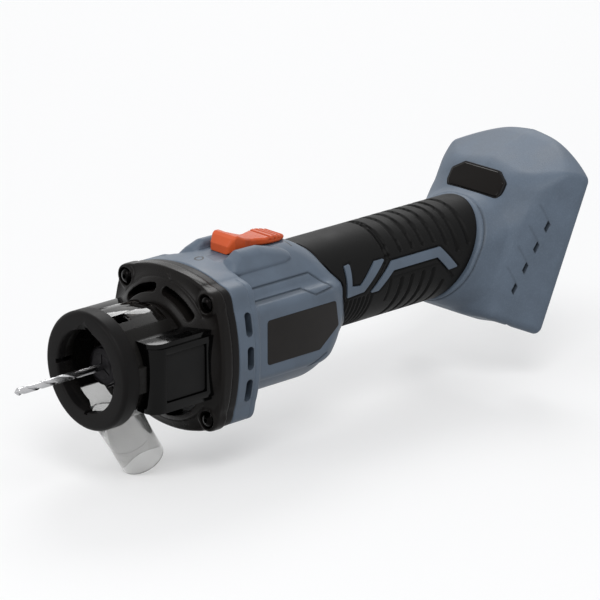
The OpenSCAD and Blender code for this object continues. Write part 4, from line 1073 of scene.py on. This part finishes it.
def foot_field(shapes):
    """The foot: its skin, the flare that joins it to the handle, and the groove behind the rim."""
    soft = shapes.foot_round / MM
    lean = RIM_LEAN - FOOT_LEAN

    def field(x, y, z):
        u, w = in_foot_frame(x, z)
        side = np.abs(y)
        past_rim = (u - FLARE_AT[0]) * math.cos(lean) - (w - FLARE_AT[1]) * math.sin(lean)
        share = np.clip((past_rim + 1.0) / FLARE_LENGTH, 0, 1) ** 1.35
        half_y, half_w = FLARE_Y[0] + FLARE_Y[1] * share, FLARE_Z[0] + FLARE_Z[1] * share
        corner = np.minimum(half_y, half_w) - share * FLARE_CORNER
        flare = round_box(side, w - FLARE_AT[1] - FLARE_RISE * share, half_y, half_w, corner)
        flare = np.maximum(meet(flare * 0.8, -past_rim, 0.8), u - FOOT_REAR[3])
        whole = join(foot_skin(soft, u, side, w), flare, 4.0)
        return whole + 0.45 * crease(np.abs(past_rim - RIM_GROOVE), 0.45) * (u < -2)
    return field


def rim_distance(points):
    """How far points lie behind the rim of the handle."""
    return (points[:, 0] - RIM_X) * math.cos(RIM_LEAN) - (points[:, 2] - HANDLE_Z) * math.sin(RIM_LEAN)


def slot_places():
    """The middles of the four slots in the foot's side, as (along, up)."""
    return [(216.5 + 5.75 * k, -5.9 + 8.4 * k) for k in range(4)]


def slot_outline(x, z):
    """A slot in the foot's side, leaning a little forwards."""
    return [(x - 0.8, z - 2.5), (x + 1.4, z + 0.8), (x + 0.8, z + 2.5), (x - 1.4, z - 0.8)]


def foot_slots():
    """Shallow cutters for the slots, each a little deeper than the side at its place."""
    tools = []
    for x, z in slot_places():
        floor = -26.2 - PANEL_WIDENING * in_foot_frame(x, z)[0]
        tools.append(rounded_prism("slot", slot_outline(x, z), -48, floor, 0, "y"))
    return tools


def foot_lines(points):
    """Painted shade for the slots and along the thin grooves that run up from them, on the foot's sides
    alone.
    """
    x, z = points[:, 0], points[:, 2]
    best, shaded_inside = np.full(len(points), 9.0), np.zeros(len(points))
    for at_x, at_z in slot_places():
        best = np.minimum(best, line_distance(x, z, [(at_x + 1.2, at_z + 1.6), (at_x - 1.4, at_z + 9.4)]))
        shaded_inside = np.maximum(shaded_inside, polygon_distance(x, z, slot_outline(at_x, at_z)) < 0.12)
    return np.maximum(0.45 * crease(best, 0.6), shaded_inside) * (np.abs(points[:, 1]) > 28)


def standing_block(corners, name):
    """A sharp box between two corners, drawn on its side."""
    (x0, y0, z0), (x1, y1, z1) = corners
    outline = np.array([(x0, z0), (x1, z0), (x1, z1), (x0, z1)])
    return stacked(name, [(outline, y0), (outline, y1)], "y")


def make_foot(shapes):
    """The two halves of the foot, with the battery bay, the rails and the light's window."""
    step = shapes.foot_step / MM * 1
    piece = half_of(field_piece("battery_foot_left", foot_field(shapes), (184, -42, -36), (264, 1.4, 64),
                                step))
    hollow = block(*BOARD_ROOM)
    bay = rounded_prism("bay", BAY_MOUTH, 12.0, 30.0, 0, "x")
    port, rail = standing_block(PORT, "port"), standing_block(RAIL, "rail")
    for tool in (hollow, bay, port, rail):
        tool.data.transform(foot_matrix())
    window = rounded_prism("window", fillet(LENS_OUTLINE, 2.2, 4), -4, 9, 0, "x")
    window.data.transform(foot_matrix(LENS_LEAN, LENS_AT))
    handle = turned("hollow_handle", [(180, 0), (222, 0), (222, 16.6), (180, 16.6)], 64, (0, HANDLE_Z))
    cut(piece, hollow, bay, window, joined("slots", foot_slots()), handle, port)
    piece = joined("battery_foot_left", [piece, rail])
    points = points_of(piece)
    # Painted shade in the groove behind the handle's rim, added to the slots' and lines' shade.
    rim = crease(np.abs(rim_distance(points) - RIM_GROOVE), 0.5) * (points[:, 0] < FOOT_AT[0])
    paint(piece, "groove", np.maximum(foot_lines(points), rim))
    both_sides(piece, "foot_plastic", ("housing_left", "housing_right"), "housing_blue", 40)


# Grip

# The blue inlays that show through the grip, as (along, up) points, and the groove round the stripe
HOOK = [(127.8, 20.5), (131.0, 20.9), (129.7, 11.9), (134.7, 11.2), (144.8, 19.3), (150.8, 19.3),
        (136.5, 8.2), (126.7, 7.5)]
STRIPE = [(140.2, 6.7), (145.1, 6.7), (154.4, 13.7), (180.7, 13.7), (187.3, 6.7), (192.6, 7.1),
          (183.4, 17.6), (154.3, 17.6)]
STRIPE_FRAME = [(150.0, 1.2), (152.6, 10.9), (182.6, 10.9), (190.5, 2.8)]

# The grip's outer and inner radius, how far its front goes under the housing, and the collar there
GRIP_R = 21.2
GRIP_INNER_R = 18.9
GRIP_OVERLAP = 2.5
COLLAR_AT, COLLAR_DEPTH = 1.1, 0.7

# The grooves: those over the top as (along, lowest angle), and the places of the ones under the stripe
TOP_GROOVES = [(161.2, 32.5), (168.1, 32.5), (174.4, 32.5), (181.0, 32.5), (187.6, 26.0), (193.1, 14.0),
               (200.2, 19.0)]
SIDE_GROOVES = [158.8, 165.2, 171.7, 177.8, 184.4]
FRONT_RIBS, FRONT_RIB_AT, FRONT_RIB_PITCH = 7, 126.5, 2.45


def groove_wall(distance, half, wall):
    """One inside a groove, falling to nothing across its wall."""
    return np.clip((half - distance) / wall, 0, 1)


def slanting(angle, top, turn):
    """How far down its slant a groove has come at an angle."""
    return np.clip((top - angle) / turn, 0, 1)


def grip_depth(x, angle, deep):
    """How deep the grip's surface lies under its skin."""
    z = HANDLE_Z + GRIP_R * np.sin(np.radians(angle))
    arc = np.radians(1.0) * GRIP_R
    depths = [np.zeros(np.broadcast(x, angle).shape)]
    for at, lowest in TOP_GROOVES:
        line = np.hypot(x - at, np.maximum((lowest - angle) * arc, 0))
        depths.append(deep * groove_wall(line, 1.25, 0.5))
    for off in (-0.95, 0.95):
        lean = slanting(angle, 25, 34) * 13.0
        line = np.hypot(x - 152.8 - off + lean, np.maximum((-9 - angle) * arc, 0))
        depths.append(deep * 0.9 * groove_wall(line, 0.75, 0.3) * (angle > -9))
    for at in SIDE_GROOVES:
        top = -20 if at == SIDE_GROOVES[-1] else -1
        beyond = np.maximum(np.maximum(angle - top, -56 - angle) * arc, 0)
        line = np.hypot(x - (at - slanting(angle, top, 54) * 4.8), beyond)
        depths.append(deep * groove_wall(line, 1.15, 0.5))
    for k in range(FRONT_RIBS):
        at = FRONT_RIB_AT + FRONT_RIB_PITCH * k
        beyond = np.maximum(np.maximum(angle + 10, -62 - angle) * arc, 0)
        line = np.hypot(x - (at - slanting(angle, -10, 50) * 2.5), beyond)
        depths.append(deep * 0.75 * groove_wall(line, 0.85, 0.4))
    stripe_frame = line_distance(x, z, STRIPE_FRAME)
    depths.append(deep * 0.6 * groove_wall(stripe_frame, 0.7, 0.35) * (np.abs(angle) < 50))
    for plan in (HOOK, STRIPE):
        d = polygon_distance(x, z, plan) + np.where(np.abs(angle) < 60, 0.0, 9.0)
        depths.append(np.where(d < 0, 0.8, groove_wall(np.abs(d - 0.25), 0.75, 0.35) * 0.55))
    return np.maximum.reduce(depths)


def shell_faces(rows, columns):
    """Faces of two equal grids of points, one inside the other, closed round their rims."""
    inner = rows * columns
    i, j = np.meshgrid(np.arange(rows - 1), np.arange(columns - 1), indexing="ij")
    a = (i * columns + j).ravel()
    quads = np.stack([a, a + 1, a + columns + 1, a + columns], 1)
    loop = np.concatenate([np.arange(columns), np.arange(1, rows) * columns + columns - 1,
                           (rows - 1) * columns + np.arange(columns - 2, -1, -1),
                           np.arange(rows - 2, 0, -1) * columns])
    following = np.roll(loop, -1)
    rims = np.stack([following, loop, loop + inner, following + inner], 1)
    return np.concatenate([quads, quads[:, ::-1] + inner, rims])


def make_grip(shapes):
    """The two halves of the soft grip."""
    fine = 1
    rows, columns = 232 // fine, 190 // fine
    angle = np.linspace(-90, 90, rows)
    angles = np.repeat(angle[:, None], columns, 1)
    front = read_off(REAR_EDGE, angle) - GRIP_OVERLAP
    back = RIM_X + math.tan(RIM_LEAN) * GRIP_R * np.sin(np.radians(angle)) + 0.4
    x = front[:, None] + np.linspace(0, 1, columns)[None, :] * (back - front)[:, None]
    collar = groove_wall(np.abs(x - (read_off(REAR_EDGE, angles) + COLLAR_AT)), 0.8, 0.4)
    deep = np.maximum(grip_depth(x, angles, shapes.groove_depth / MM), COLLAR_DEPTH * collar)
    tail = np.clip((x - back[:, None] + 1.0) / 1.0, 0, 1)
    across, up = np.cos(np.radians(angles)), np.sin(np.radians(angles))
    layers = [np.stack([x, -radius * across, HANDLE_Z + radius * up], 2).reshape(-1, 3)
              for radius in (GRIP_R - deep - 0.5 * tail ** 2, GRIP_INNER_R)]
    piece = outward(quad_mesh("grip_sleeve_left", np.concatenate(layers), shell_faces(rows, columns)))
    points = points_of(piece)
    # Painted shade: the deeper the surface lies under the grip's skin, the darker it is painted.
    level = GRIP_R - np.hypot(points[:, 1], points[:, 2] - HANDLE_Z)
    paint(piece, "groove", np.clip(level / 0.7, 0, 1) * (level < 1.5))
    both_sides(piece, "grip_rubber", ("grip_left", "grip_right"), "grip_black", 50)


def make_inlays():
    """The hook and the stripe that show through the grip on each side."""
    inlays = []
    for plan in (HOOK, STRIPE):
        plate = turned("plate", [(120, 20.0), (200, 20.0), (200, 21.28), (120, 21.28)], 256, (0, HANDLE_Z))
        shape = rounded_prism("shape", fillet(plan, 0.35, 3), -30, -8, 0, "y")
        inlays.append(cut(plate, shape, operation="INTERSECT"))
    inlay = bevelled(joined("grip_inlays_left", inlays), 0.14, 55, 1)
    both_sides(inlay, "housing_plastic", (), "housing_blue")


# Nose

CHUTE_LEAN = math.radians(31)
CHUTE_AT, CHUTE_BORE = 2.9, 8.0


def chute_rod(radius, low=-20.0, high=60.0):
    """A rod along the dust chute, to keep its bore free."""
    rod = turned("rod", [(low, 0), (high, 0), (high, radius), (low, radius)], 64)
    rod.data.transform(Matrix.Translation(Vector((CHUTE_AT, 0, 0)) * MM)
                       @ Matrix.Rotation(math.pi / 2 - CHUTE_LEAN, 4, "Y"))
    return rod


def make_ring(shapes):
    """The ring that rests on the sheet, with four notches in its opening."""
    r = shapes.ring_round / MM
    profile = arcs([(0, 17.4, 0.9), (0, 25.2, r), (8, 25.2, 0.7), (8, 17.4, 0.4)], 6)
    ring = turned("guide_ring_rim", profile, 160)
    notches = []
    for k in range(4):
        notch = block((-1, -1.0, 15.4), (9, 1.0, 18.6), 0)
        notch.data.transform(Matrix.Rotation(math.radians(90 * k), 4, "X"))
        notches.append(notch)
    cut(ring, joined("notches", notches), chute_rod(CHUTE_BORE))
    wearing(ring, "ring_matte", "depth_guide", "guide_ring", slot="ring_black")


# Pieces that are the CAD's own with softer edges: node, piece, finish, body, slot, width and steps
DRESSED = {
    "guide": [("guide_frame", "guide_side_walls", "guide_satin", "depth_guide", "guide_grey", 0.35, 2),
              ("guide_window", "smoked_top_shell", "smoked_clear", "depth_guide", "smoked", 0.3, 2),
              ("dust_chute", "clear_dust_chute", "clear_plastic", "depth_guide", "clear", 0.3, 2)],
    "spindle": [("collet_nut", "collet_nut_hex", "dark_steel", "spindle_body", "dark_steel", 0.5, 2),
                ("lock_ring", "notched_lock_ring", "dark_steel", "spindle_body", "dark_steel", 0.3, 2)],
    "nose": [("nose_frame", "gloss_side_boxes", "gloss_black", "tool_body", "gloss_black", 0.7, 3)],
    "pads": [("release_pad", "release_pad_face", "pad_satin", "release_button", "pad_grey", 0.9, 3),
             ("lock_pad", "lock_pad_face", "pad_satin", "lock_button", "pad_grey", 0.9, 3)],
    "terminals": [("terminal_block", "terminal_holder", "dark_plastic", "tool_body", "block_black", 0.5, 2)],
}


def make_dressed(group):
    """The dressed pieces of a group."""
    for node, name, finish, body, slot, width, steps in DRESSED[group]:
        wearing(dressed(node, name, width, segments=steps), finish, body, node, slot=slot)


# The bit: its round shank, its point, where its flutes end, and how far one turn of them reaches
BIT_R, BIT_TIP, FLUTES_END, FLUTE_PITCH = 1.5875, -36.6, -4.0, 18.5


def make_bit(shapes):
    """Twist flutes on the front of the bit, a round shank behind them, and a split point."""
    deep, count = shapes.flute_depth / MM, 40
    along = np.concatenate([np.linspace(BIT_TIP, -34.9, 9), np.linspace(-34.7, FLUTES_END, 190),
                            np.linspace(-3.5, 24.0, 12)])
    t = np.arange(count) / count * 2 * np.pi
    rings = []
    for x in along:
        turn = (x - BIT_TIP) / FLUTE_PITCH * 2 * np.pi
        flute = np.clip(2.6 * np.cos(2 * (t - turn)) - 1.6, 0, 1) ** 0.6
        fade = min(1.0, max(0.0, (FLUTES_END - x) / 3.0))
        tip = min(1.0, 0.12 + (x - BIT_TIP) / 1.9)
        r = (BIT_R - deep * fade * flute) * tip
        rings.append((np.stack([r * np.cos(t), r * np.sin(t)], 1), x))
    bit = stacked("spiral_bit", rings, "x")
    wearing(bit, "bright_steel", "spindle_body", "cutting_bit", slot="bright_steel", angle=40)


# The front cover: where its plate and dome end, the dome's ball, the vents' ring, the fine line and the
# room for the pads beside it
PLATE = (44.5, 49.5)
DOME_FROM, DOME_TO, DOME_AT, DOME_R = 37.0, 49.0, 83.6, 51.0
VENT_RING, VENT_R = 26.4, 1.75
LINE_RING = 30.6
COVER_BORE = 20.42
PAD_ROOM = ((30.0, 40.1), 24.4, 10.6)


def cover_field(x, y, z):
    """The front cover: plate, dome, screw seats and curved vents."""
    side, high, rho = np.abs(y), np.abs(z), np.hypot(y, z)
    from_screw = np.hypot(side - SCREW_AT, high - SCREW_AT)
    plate = meet(squircle(y, z, 34.5, 4.7), slab(x, *PLATE), 0.9)
    ball = np.maximum(np.hypot(x - DOME_AT, rho) - DOME_R, np.maximum(DOME_FROM - x, x - DOME_TO))
    dome = np.maximum(meet(ball, DOME_FROM - x, 1.0), squircle(y, z, 33.4, 4.7))
    whole = join(plate, dome, 2.2)
    lobes = meet(from_screw - 5.0, 43.4 - x, 0.7)
    whole = join(whole, np.maximum(lobes, x - DOME_TO), 1.2)
    whole = carve(whole, meet(from_screw - 3.9, x - 45.2, 0.4), 0.5)
    angle = np.clip(np.arctan2(side, high), math.radians(8), math.radians(45))
    vent = np.hypot(side - VENT_RING * np.sin(angle), high - VENT_RING * np.cos(angle)) - VENT_R
    whole = carve(whole, vent, 0.3)
    line = np.abs(rho - LINE_RING) + 9.0 * (x > 44.6) + 9.0 * (np.arctan2(side, high) > 0.9)
    mark = line_distance(y, z, [(-4.5, 30.2), (-1.8, 32.6)])
    whole = whole + 0.3 * crease(line, 0.5) + 0.35 * crease(mark, 0.55) * (x < 47)
    (front, rear), out, up = PAD_ROOM
    pad_room = np.maximum(slab(x, front, rear), np.maximum(out - side, high - up))
    return np.maximum(np.maximum(whole, COVER_BORE - rho), -pad_room)


def gasket_field(x, y, z):
    """The flat gasket between the cover and the housing."""
    whole = meet(squircle(y, z, 34.2, 4.5), slab(x, 49.3, 53.95), 0.9)
    return np.maximum(whole, SEAT_R - np.hypot(y, z))


def make_cover(shapes):
    """The front cover and its gasket."""
    step = shapes.cover_step / MM * 1
    cover = field_piece("front_cover_dome", cover_field, (36, -37, -37), (50.5, 37, 37), step)
    wearing(cover, "cover_satin", "tool_body", "front_cover", slot="cover_black", angle=40)
    gasket = field_piece("front_gasket", gasket_field, (49, -37, -37), (55, 37, 37), step)
    wearing(gasket, "gasket_rubber", "tool_body", "cover_gasket", slot="gasket_black")


def screw_head(radius, low, high):
    """A round screw head with a hexagon socket, facing forwards."""
    t = np.linspace(0, math.pi / 2, 12)
    dome = [(low + radius * 0.62 * (1 - math.cos(a)), radius * math.sin(a)) for a in t]
    head = turned("head", dome + [(high, radius), (high, 0)], 48)
    socket = rounded_prism("socket", circle(0, 0, radius * 0.34, 6), low - 1, low + 1.4, 0, "x")
    return cut(head, socket)


def make_screws():
    """The four screws of the front cover."""
    ring = SCREW_AT * math.sqrt(2)
    heads = repeated("cover_screw_heads", screw_head(3.3, 42.6, 45.0), "screw_black", 4, ring, 45)
    shank = turned("shank", [(44.8, 0), (58, 0), (58, 1.9), (44.8, 1.9)], 20)
    shanks = repeated("shanks", shank, "screw_black", 4, ring, 45)
    wearing(joined("cover_screw_set", [heads, shanks]), "screw_black", "tool_body", "cover_screws",
            slot="dark_steel")


# The springs' windings
SPRING_TURNS = 5.0
SPRING_WIRE = 0.28 * MM


def make_springs():
    """The pair of springs behind each pad."""
    tree = spring_tree()
    for node, name, joint in (("release_springs", "release_spring_pair", "release_press"),
                              ("lock_springs", "lock_spring_pair", "lock_press")):
        low, high = [np.array(corner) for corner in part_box(node)]
        radius = (high[0] - low[0]) / 2
        length = high[1] - low[1]
        pair = []
        for z in (low[2] + radius, high[2] - radius):
            coil = grown_by_nodes("coil", tree, Turns=SPRING_TURNS, Radius=radius - SPRING_WIRE,
                                  Length=length - 2 * SPRING_WIRE, Wire=SPRING_WIRE,
                                  Finish=MATERIALS["bright_steel"])
            coil.data.transform(Matrix.Translation(((low[0] + high[0]) / 2, low[1] + SPRING_WIRE, z))
                                @ Matrix.Rotation(math.radians(-90), 4, "X"))
            pair.append(coil)
        springs = joined(name, pair)
        wearing(springs, "bright_steel", "tool_body", node, slot="bright_steel")
        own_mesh(springs)


# Switch, labels and light

# The switch cap from the side as (along, up) points, its half width along it, and its ribs
BUTTON_SIDE = [(73.0, 34.9), (73.0, 38.3), (75.0, 41.3), (76.7, 42.3), (78.3, 42.2), (81.0, 40.8),
               (88.0, 38.4), (94.0, 38.0), (98.0, 38.4), (104.0, 37.3), (107.0, 35.9), (107.0, 34.9)]
BUTTON_PLAN = [(73, 5.4), (76, 7), (81.5, 7), (86.5, 4.7), (90, 4.7), (93.5, 6.2), (97, 6.9), (101, 6.9),
               (104, 5.9), (106, 4.2), (107, 2.6), (107.4, 1.6)]
RIBS_FROM, RIBS_TO, RIB_AT, RIB_PITCH, RIBS_OVER = 94.6, 104.3, 96.0, 2.35, 36.4


def cap_ribs(x, z):
    """One between the ribs on the rear of the switch cap, and nothing on them."""
    waves = np.clip(np.cos((x - RIB_AT) / RIB_PITCH * 2 * np.pi), 0, 1)
    return waves * (x > RIBS_FROM) * (x < RIBS_TO) * (z > RIBS_OVER)


def button_field(x, y, z):
    """The switch cap: its side and its plan, ribs and a shallow dish in the middle."""
    side = np.abs(y)
    plan = (side - read_off(BUTTON_PLAN, x)) * 0.92
    whole = meet(polygon_distance(x, z, BUTTON_SIDE), plan, 1.1)
    dish = np.hypot((x - 89) / 1.7, side) - 3.2
    return whole + 0.5 * cap_ribs(x, z) ** 0.8 + 0.12 * np.clip(-dish, 0, 1)


def make_switch():
    """The switch cap with the stem under it."""
    step = 0.22
    cap = field_piece("switch_cap", button_field, (72.6, -8, 34.5), (107.6, 8, 43), step)
    cap = joined("switch_cap", [cap, block((84, -2.9, 31.2), (96, 2.9, 35.2), 0.2)])
    x, y, z = points_of(cap).T
    # Painted shade between the ribs of the cap.
    paint(cap, "groove", 0.45 * cap_ribs(x, z))
    wearing(cap, "switch_orange", "switch_slider", "slide_button", slot="orange", angle=35)


# The label's outline, as (along, up) points
LABEL = [(72.0, -6.8), (101.6, -6.8), (112.3, 1.6), (110.8, 12.7), (72.0, 12.7)]


def make_labels():
    """A bare label plate on each side of the housing."""
    plate = rounded_prism("side_label_left", fillet(LABEL, 1.4, 5), -31.12, -30.6, 0.08, "y", 0.12)
    both_sides(plate, "label_sheet", ("label_left", "label_right"), "label")


def make_lens():
    """The dark lens of the light and its border."""
    border = rounded_prism("lens_border", fillet(LENS_OUTLINE, 2.1, 5), -0.2, 2.0, 0.3, "x", 0.3)
    inner = fillet(grown(LENS_OUTLINE, -0.7), 1.8, 5)
    glass = rounded_prism("lens_glass", inner, -0.75, 1.8, 0.5, "x", 0.9, steps=5)
    for piece, finish in ((border, "dark_plastic"), (glass, "lens_gloss")):
        piece.data.transform(foot_matrix(LENS_LEAN, LENS_AT))
        wearing(piece, finish, "tool_body", "light_lens", slot="lens_dark")


def make_terminals():
    """The battery's four blades."""
    blade = block((0, -0.4, -10), (4.5, 0.4, 0), 0.15)
    blade.data.transform(Matrix.Translation(Vector((12.5, -9, 0)) * MM))
    blades = repeated("blade_row", blade, "contact_brass", 4, step=(0, 6, 0))
    blades.data.transform(foot_matrix())
    wearing(blades, "contact_brass", "tool_body", "terminal_blades", slot="contact_brass")


# The finishes of the inner nodes
INSIDE = {
    "dark_steel": ("collet", "spindle", "lock_pin", "nose_screws", "housing_screws"),
    "bright_steel": ("front_bearing", "rear_bearing", "slide_link"),
    "dark_plastic": ("fan", "switch_module", "capacitors"), "sheet_stack": ("rotor_core", "stator_core"),
    "magnet_plate": ("rotor_magnets",), "cover_satin": ("nose_tube",), "copper_wire": ("stator_coils",),
    "board_coat": ("sensor_board", "control_board", "light_board"), "white_plastic": ("board_connector",),
    "alloy": ("heat_sink",), "lead_red": ("motor_leads", "battery_leads"), "lead_black": ("switch_leads",),
}


def coat_inside():
    """Finishes of the CAD nodes that are shown as they are."""
    for finish, nodes in INSIDE.items():
        for node in nodes:
            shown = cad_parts[node]
            shown.data.materials.clear()
            shown.data.materials.append(MATERIALS[finish])


# Stage

# The lamps as name, place, power and width, the point that they face, and the camera of the photo's view
KEY_LIGHTS = (("key_light", (-0.5, -0.9, 1.5), 14, 0.9), ("side_light", (-1.4, 0.3, 0.7), 7, 0.8),
              ("rear_light", (1.0, 0.9, 1.2), 9, 0.8))
LIT_POINT = Vector((0.1, 0, 0))
CAMERA_AT = (-0.9775, -1.1756, 0.5444)
CAMERA_TURN = (math.radians(90 - 18.60), 0, math.radians(-43.01))


def any_ray(s, *kinds):
    """One for rays of any of the kinds."""
    light = s.node("ShaderNodeLightPath")
    found = light.outputs[kinds[0]]
    for kind in kinds[1:]:
        found = s.math("MAXIMUM", found, light.outputs[kind])
    return found


def make_world():
    """A white ground to look at, and soft grey light on the tool."""
    world = bpy.data.worlds.new("Soft studio")
    bpy.context.scene.world = world
    world.use_nodes = True
    s = Shading(world.node_tree)
    shade = world.node_tree.nodes["Background"]
    shade.inputs["Color"].default_value = (0.62, 0.63, 0.65, 1)
    shade.inputs["Strength"].default_value = 0.72
    seen_ray = any_ray(s, "Is Camera Ray", "Is Transmission Ray", "Is Glossy Ray")
    white = s.node("ShaderNodeBackground", {"Color": (1, 1, 1, 1)})
    blend = s.node("ShaderNodeMixShader", {0: seen_ray, 1: shade.outputs[0], 2: white.outputs[0]})
    s.feed(world.node_tree.nodes["World Output"].inputs["Surface"], blend.outputs[0])


def make_floor():
    """A wide white floor under the tool."""
    low = CAD_BOX[0][2] / MM
    outline = circle(100, 0, 2400, 64)
    floor = stacked("studio_floor", [(outline, low - 6), (outline, low - 0.02)])
    s, shader = material("floor_white", (0.9, 0.9, 0.9, 1), 0.9)
    seen_ray = any_ray(s, "Is Camera Ray", "Is Glossy Ray")
    glow = s.node("ShaderNodeEmission", {"Color": (1, 1, 1, 1), "Strength": seen_ray})
    blend = s.node("ShaderNodeMixShader", {0: 0.45, 1: shader.outputs[0], 2: glow.outputs[0]})
    s.feed(s.tree.nodes["Material Output"].inputs["Surface"], blend.outputs[0])
    floor.data.materials.append(MATERIALS["floor_white"])


def placed_rig(name, data, place, turn):
    """A lamp or a camera at its place."""
    rig = add_object(name, data)
    rig.location = place
    rig.rotation_euler = turn
    return rig


def make_stage():
    """The floor, the world, the lamps and the camera of the photo's view."""
    bpy.context.scene.view_settings.view_transform = "Standard"
    make_world()
    make_floor()
    for name, place, power, wide in KEY_LIGHTS:
        lamp = bpy.data.lights.new(name, "AREA")
        lamp.shape, lamp.size, lamp.energy = "DISK", wide, power
        aim = LIT_POINT - Vector(place)
        placed_rig(name, lamp, place, aim.to_track_quat("-Z", "Y").to_euler())
    lens = bpy.data.cameras.new("photo_camera")
    lens.lens, lens.sensor_width, lens.clip_start, lens.clip_end = 240, 36, 0.01, 20
    bpy.context.scene.camera = placed_rig("photo_camera", lens, CAMERA_AT, CAMERA_TURN)


# Operators


class CUTOUT_OT_finishes(bpy.types.Operator):
    """Makes the finishes that the pieces share"""

    bl_idname = "cutout.finishes"
    bl_label = "Finishes"

    def execute(self, context):
        build_materials(context.scene.cut_out_colours)
        return {"FINISHED"}


class CUTOUT_OT_housing(bpy.types.Operator):
    """Builds the two halves of the motor housing with their band, wings and rear edge"""

    bl_idname = "cutout.housing"
    bl_label = "Motor housing"

    def execute(self, context):
        make_housing(context.scene.cut_out_shapes)
        return {"FINISHED"}


class CUTOUT_OT_foot(bpy.types.Operator):
    """Builds the two halves of the leaning foot with its battery bay"""

    bl_idname = "cutout.foot"
    bl_label = "Battery foot"

    def execute(self, context):
        make_foot(context.scene.cut_out_shapes)
        return {"FINISHED"}


class CUTOUT_OT_grip(bpy.types.Operator):
    """Builds the soft grip with its ribs, and the inlays that show through it"""

    bl_idname = "cutout.grip"
    bl_label = "Soft grip"

    def execute(self, context):
        make_grip(context.scene.cut_out_shapes)
        make_inlays()
        return {"FINISHED"}


class CUTOUT_OT_guide(bpy.types.Operator):
    """Builds the depth guide: ring, side walls, smoked shell and clear dust chute"""

    bl_idname = "cutout.guide"
    bl_label = "Depth guide"

    def execute(self, context):
        make_ring(context.scene.cut_out_shapes)
        make_dressed("guide")
        return {"FINISHED"}


class CUTOUT_OT_cover(bpy.types.Operator):
    """Builds the front cover with its gasket and the two gloss boxes"""

    bl_idname = "cutout.cover"
    bl_label = "Front cover"

    def execute(self, context):
        make_cover(context.scene.cut_out_shapes)
        make_dressed("nose")
        return {"FINISHED"}


class CUTOUT_OT_screws(bpy.types.Operator):
    """Sets the screws round the front cover"""

    bl_idname = "cutout.screws"
    bl_label = "Screws"

    def execute(self, context):
        make_screws()
        return {"FINISHED"}


class CUTOUT_OT_bit(bpy.types.Operator):
    """Builds the spiral bit, its nut and the lock ring"""

    bl_idname = "cutout.bit"
    bl_label = "Bit and nut"

    def execute(self, context):
        make_bit(context.scene.cut_out_shapes)
        make_dressed("spindle")
        return {"FINISHED"}


class CUTOUT_OT_pads(bpy.types.Operator):
    """Builds the two press pads and their springs"""

    bl_idname = "cutout.pads"
    bl_label = "Pads and springs"

    def execute(self, context):
        make_dressed("pads")
        make_springs()
        return {"FINISHED"}


class CUTOUT_OT_switch(bpy.types.Operator):
    """Builds the slide switch cap with its stem"""

    bl_idname = "cutout.switch"
    bl_label = "Slide switch"

    def execute(self, context):
        make_switch()
        return {"FINISHED"}


class CUTOUT_OT_labels(bpy.types.Operator):
    """Builds the bare label plates and the light's lens"""

    bl_idname = "cutout.labels"
    bl_label = "Labels and lens"

    def execute(self, context):
        make_labels()
        make_lens()
        return {"FINISHED"}


class CUTOUT_OT_terminals(bpy.types.Operator):
    """Builds the battery's terminal holder and its blades"""

    bl_idname = "cutout.terminals"
    bl_label = "Terminals"

    def execute(self, context):
        make_dressed("terminals")
        make_terminals()
        return {"FINISHED"}


class CUTOUT_OT_inside(bpy.types.Operator):
    """Gives the motor, boards, leads and bearings their finishes"""

    bl_idname = "cutout.inside"
    bl_label = "Inner parts"

    def execute(self, context):
        coat_inside()
        return {"FINISHED"}


class CUTOUT_OT_stage(bpy.types.Operator):
    """Sets the pale floor, the soft lamps and the camera"""

    bl_idname = "cutout.stage"
    bl_label = "Stage"

    def execute(self, context):
        make_stage()
        return {"FINISHED"}


STEPS = (CUTOUT_OT_finishes, CUTOUT_OT_housing, CUTOUT_OT_foot, CUTOUT_OT_grip, CUTOUT_OT_guide,
         CUTOUT_OT_cover, CUTOUT_OT_screws, CUTOUT_OT_bit, CUTOUT_OT_pads, CUTOUT_OT_switch,
         CUTOUT_OT_labels, CUTOUT_OT_terminals, CUTOUT_OT_inside, CUTOUT_OT_stage)


class CUTOUT_PT_pieces(bpy.types.Panel):
    """Lists the steps and the values that they use"""

    bl_label = "Cut Out Tool"
    bl_idname = "CUTOUT_PT_pieces"
    bl_space_type = "VIEW_3D"
    bl_region_type = "UI"
    bl_category = "Cut Out Tool"

    def draw(self, context):
        for step in STEPS:
            self.layout.operator(step.bl_idname)
        for values in (context.scene.cut_out_shapes, context.scene.cut_out_colours):
            box = self.layout.box()
            for key in values.__annotations__:
                box.prop(values, key)


CLASSES = (CutOutShapes, CutOutColours, *STEPS, CUTOUT_PT_pieces)


def register():
    for item in CLASSES:
        bpy.utils.register_class(item)
    bpy.types.Scene.cut_out_shapes = bpy.props.PointerProperty(type=CutOutShapes)
    bpy.types.Scene.cut_out_colours = bpy.props.PointerProperty(type=CutOutColours)


def unregister():
    del bpy.types.Scene.cut_out_shapes
    del bpy.types.Scene.cut_out_colours
    for item in reversed(CLASSES):
        bpy.utils.unregister_class(item)


def main():
    register()
    for step in STEPS:
        getattr(bpy.ops.cutout, step.bl_idname.split(".")[1])()
    bpy.context.view_layer.update()


if __name__ == "__main__":
    main()
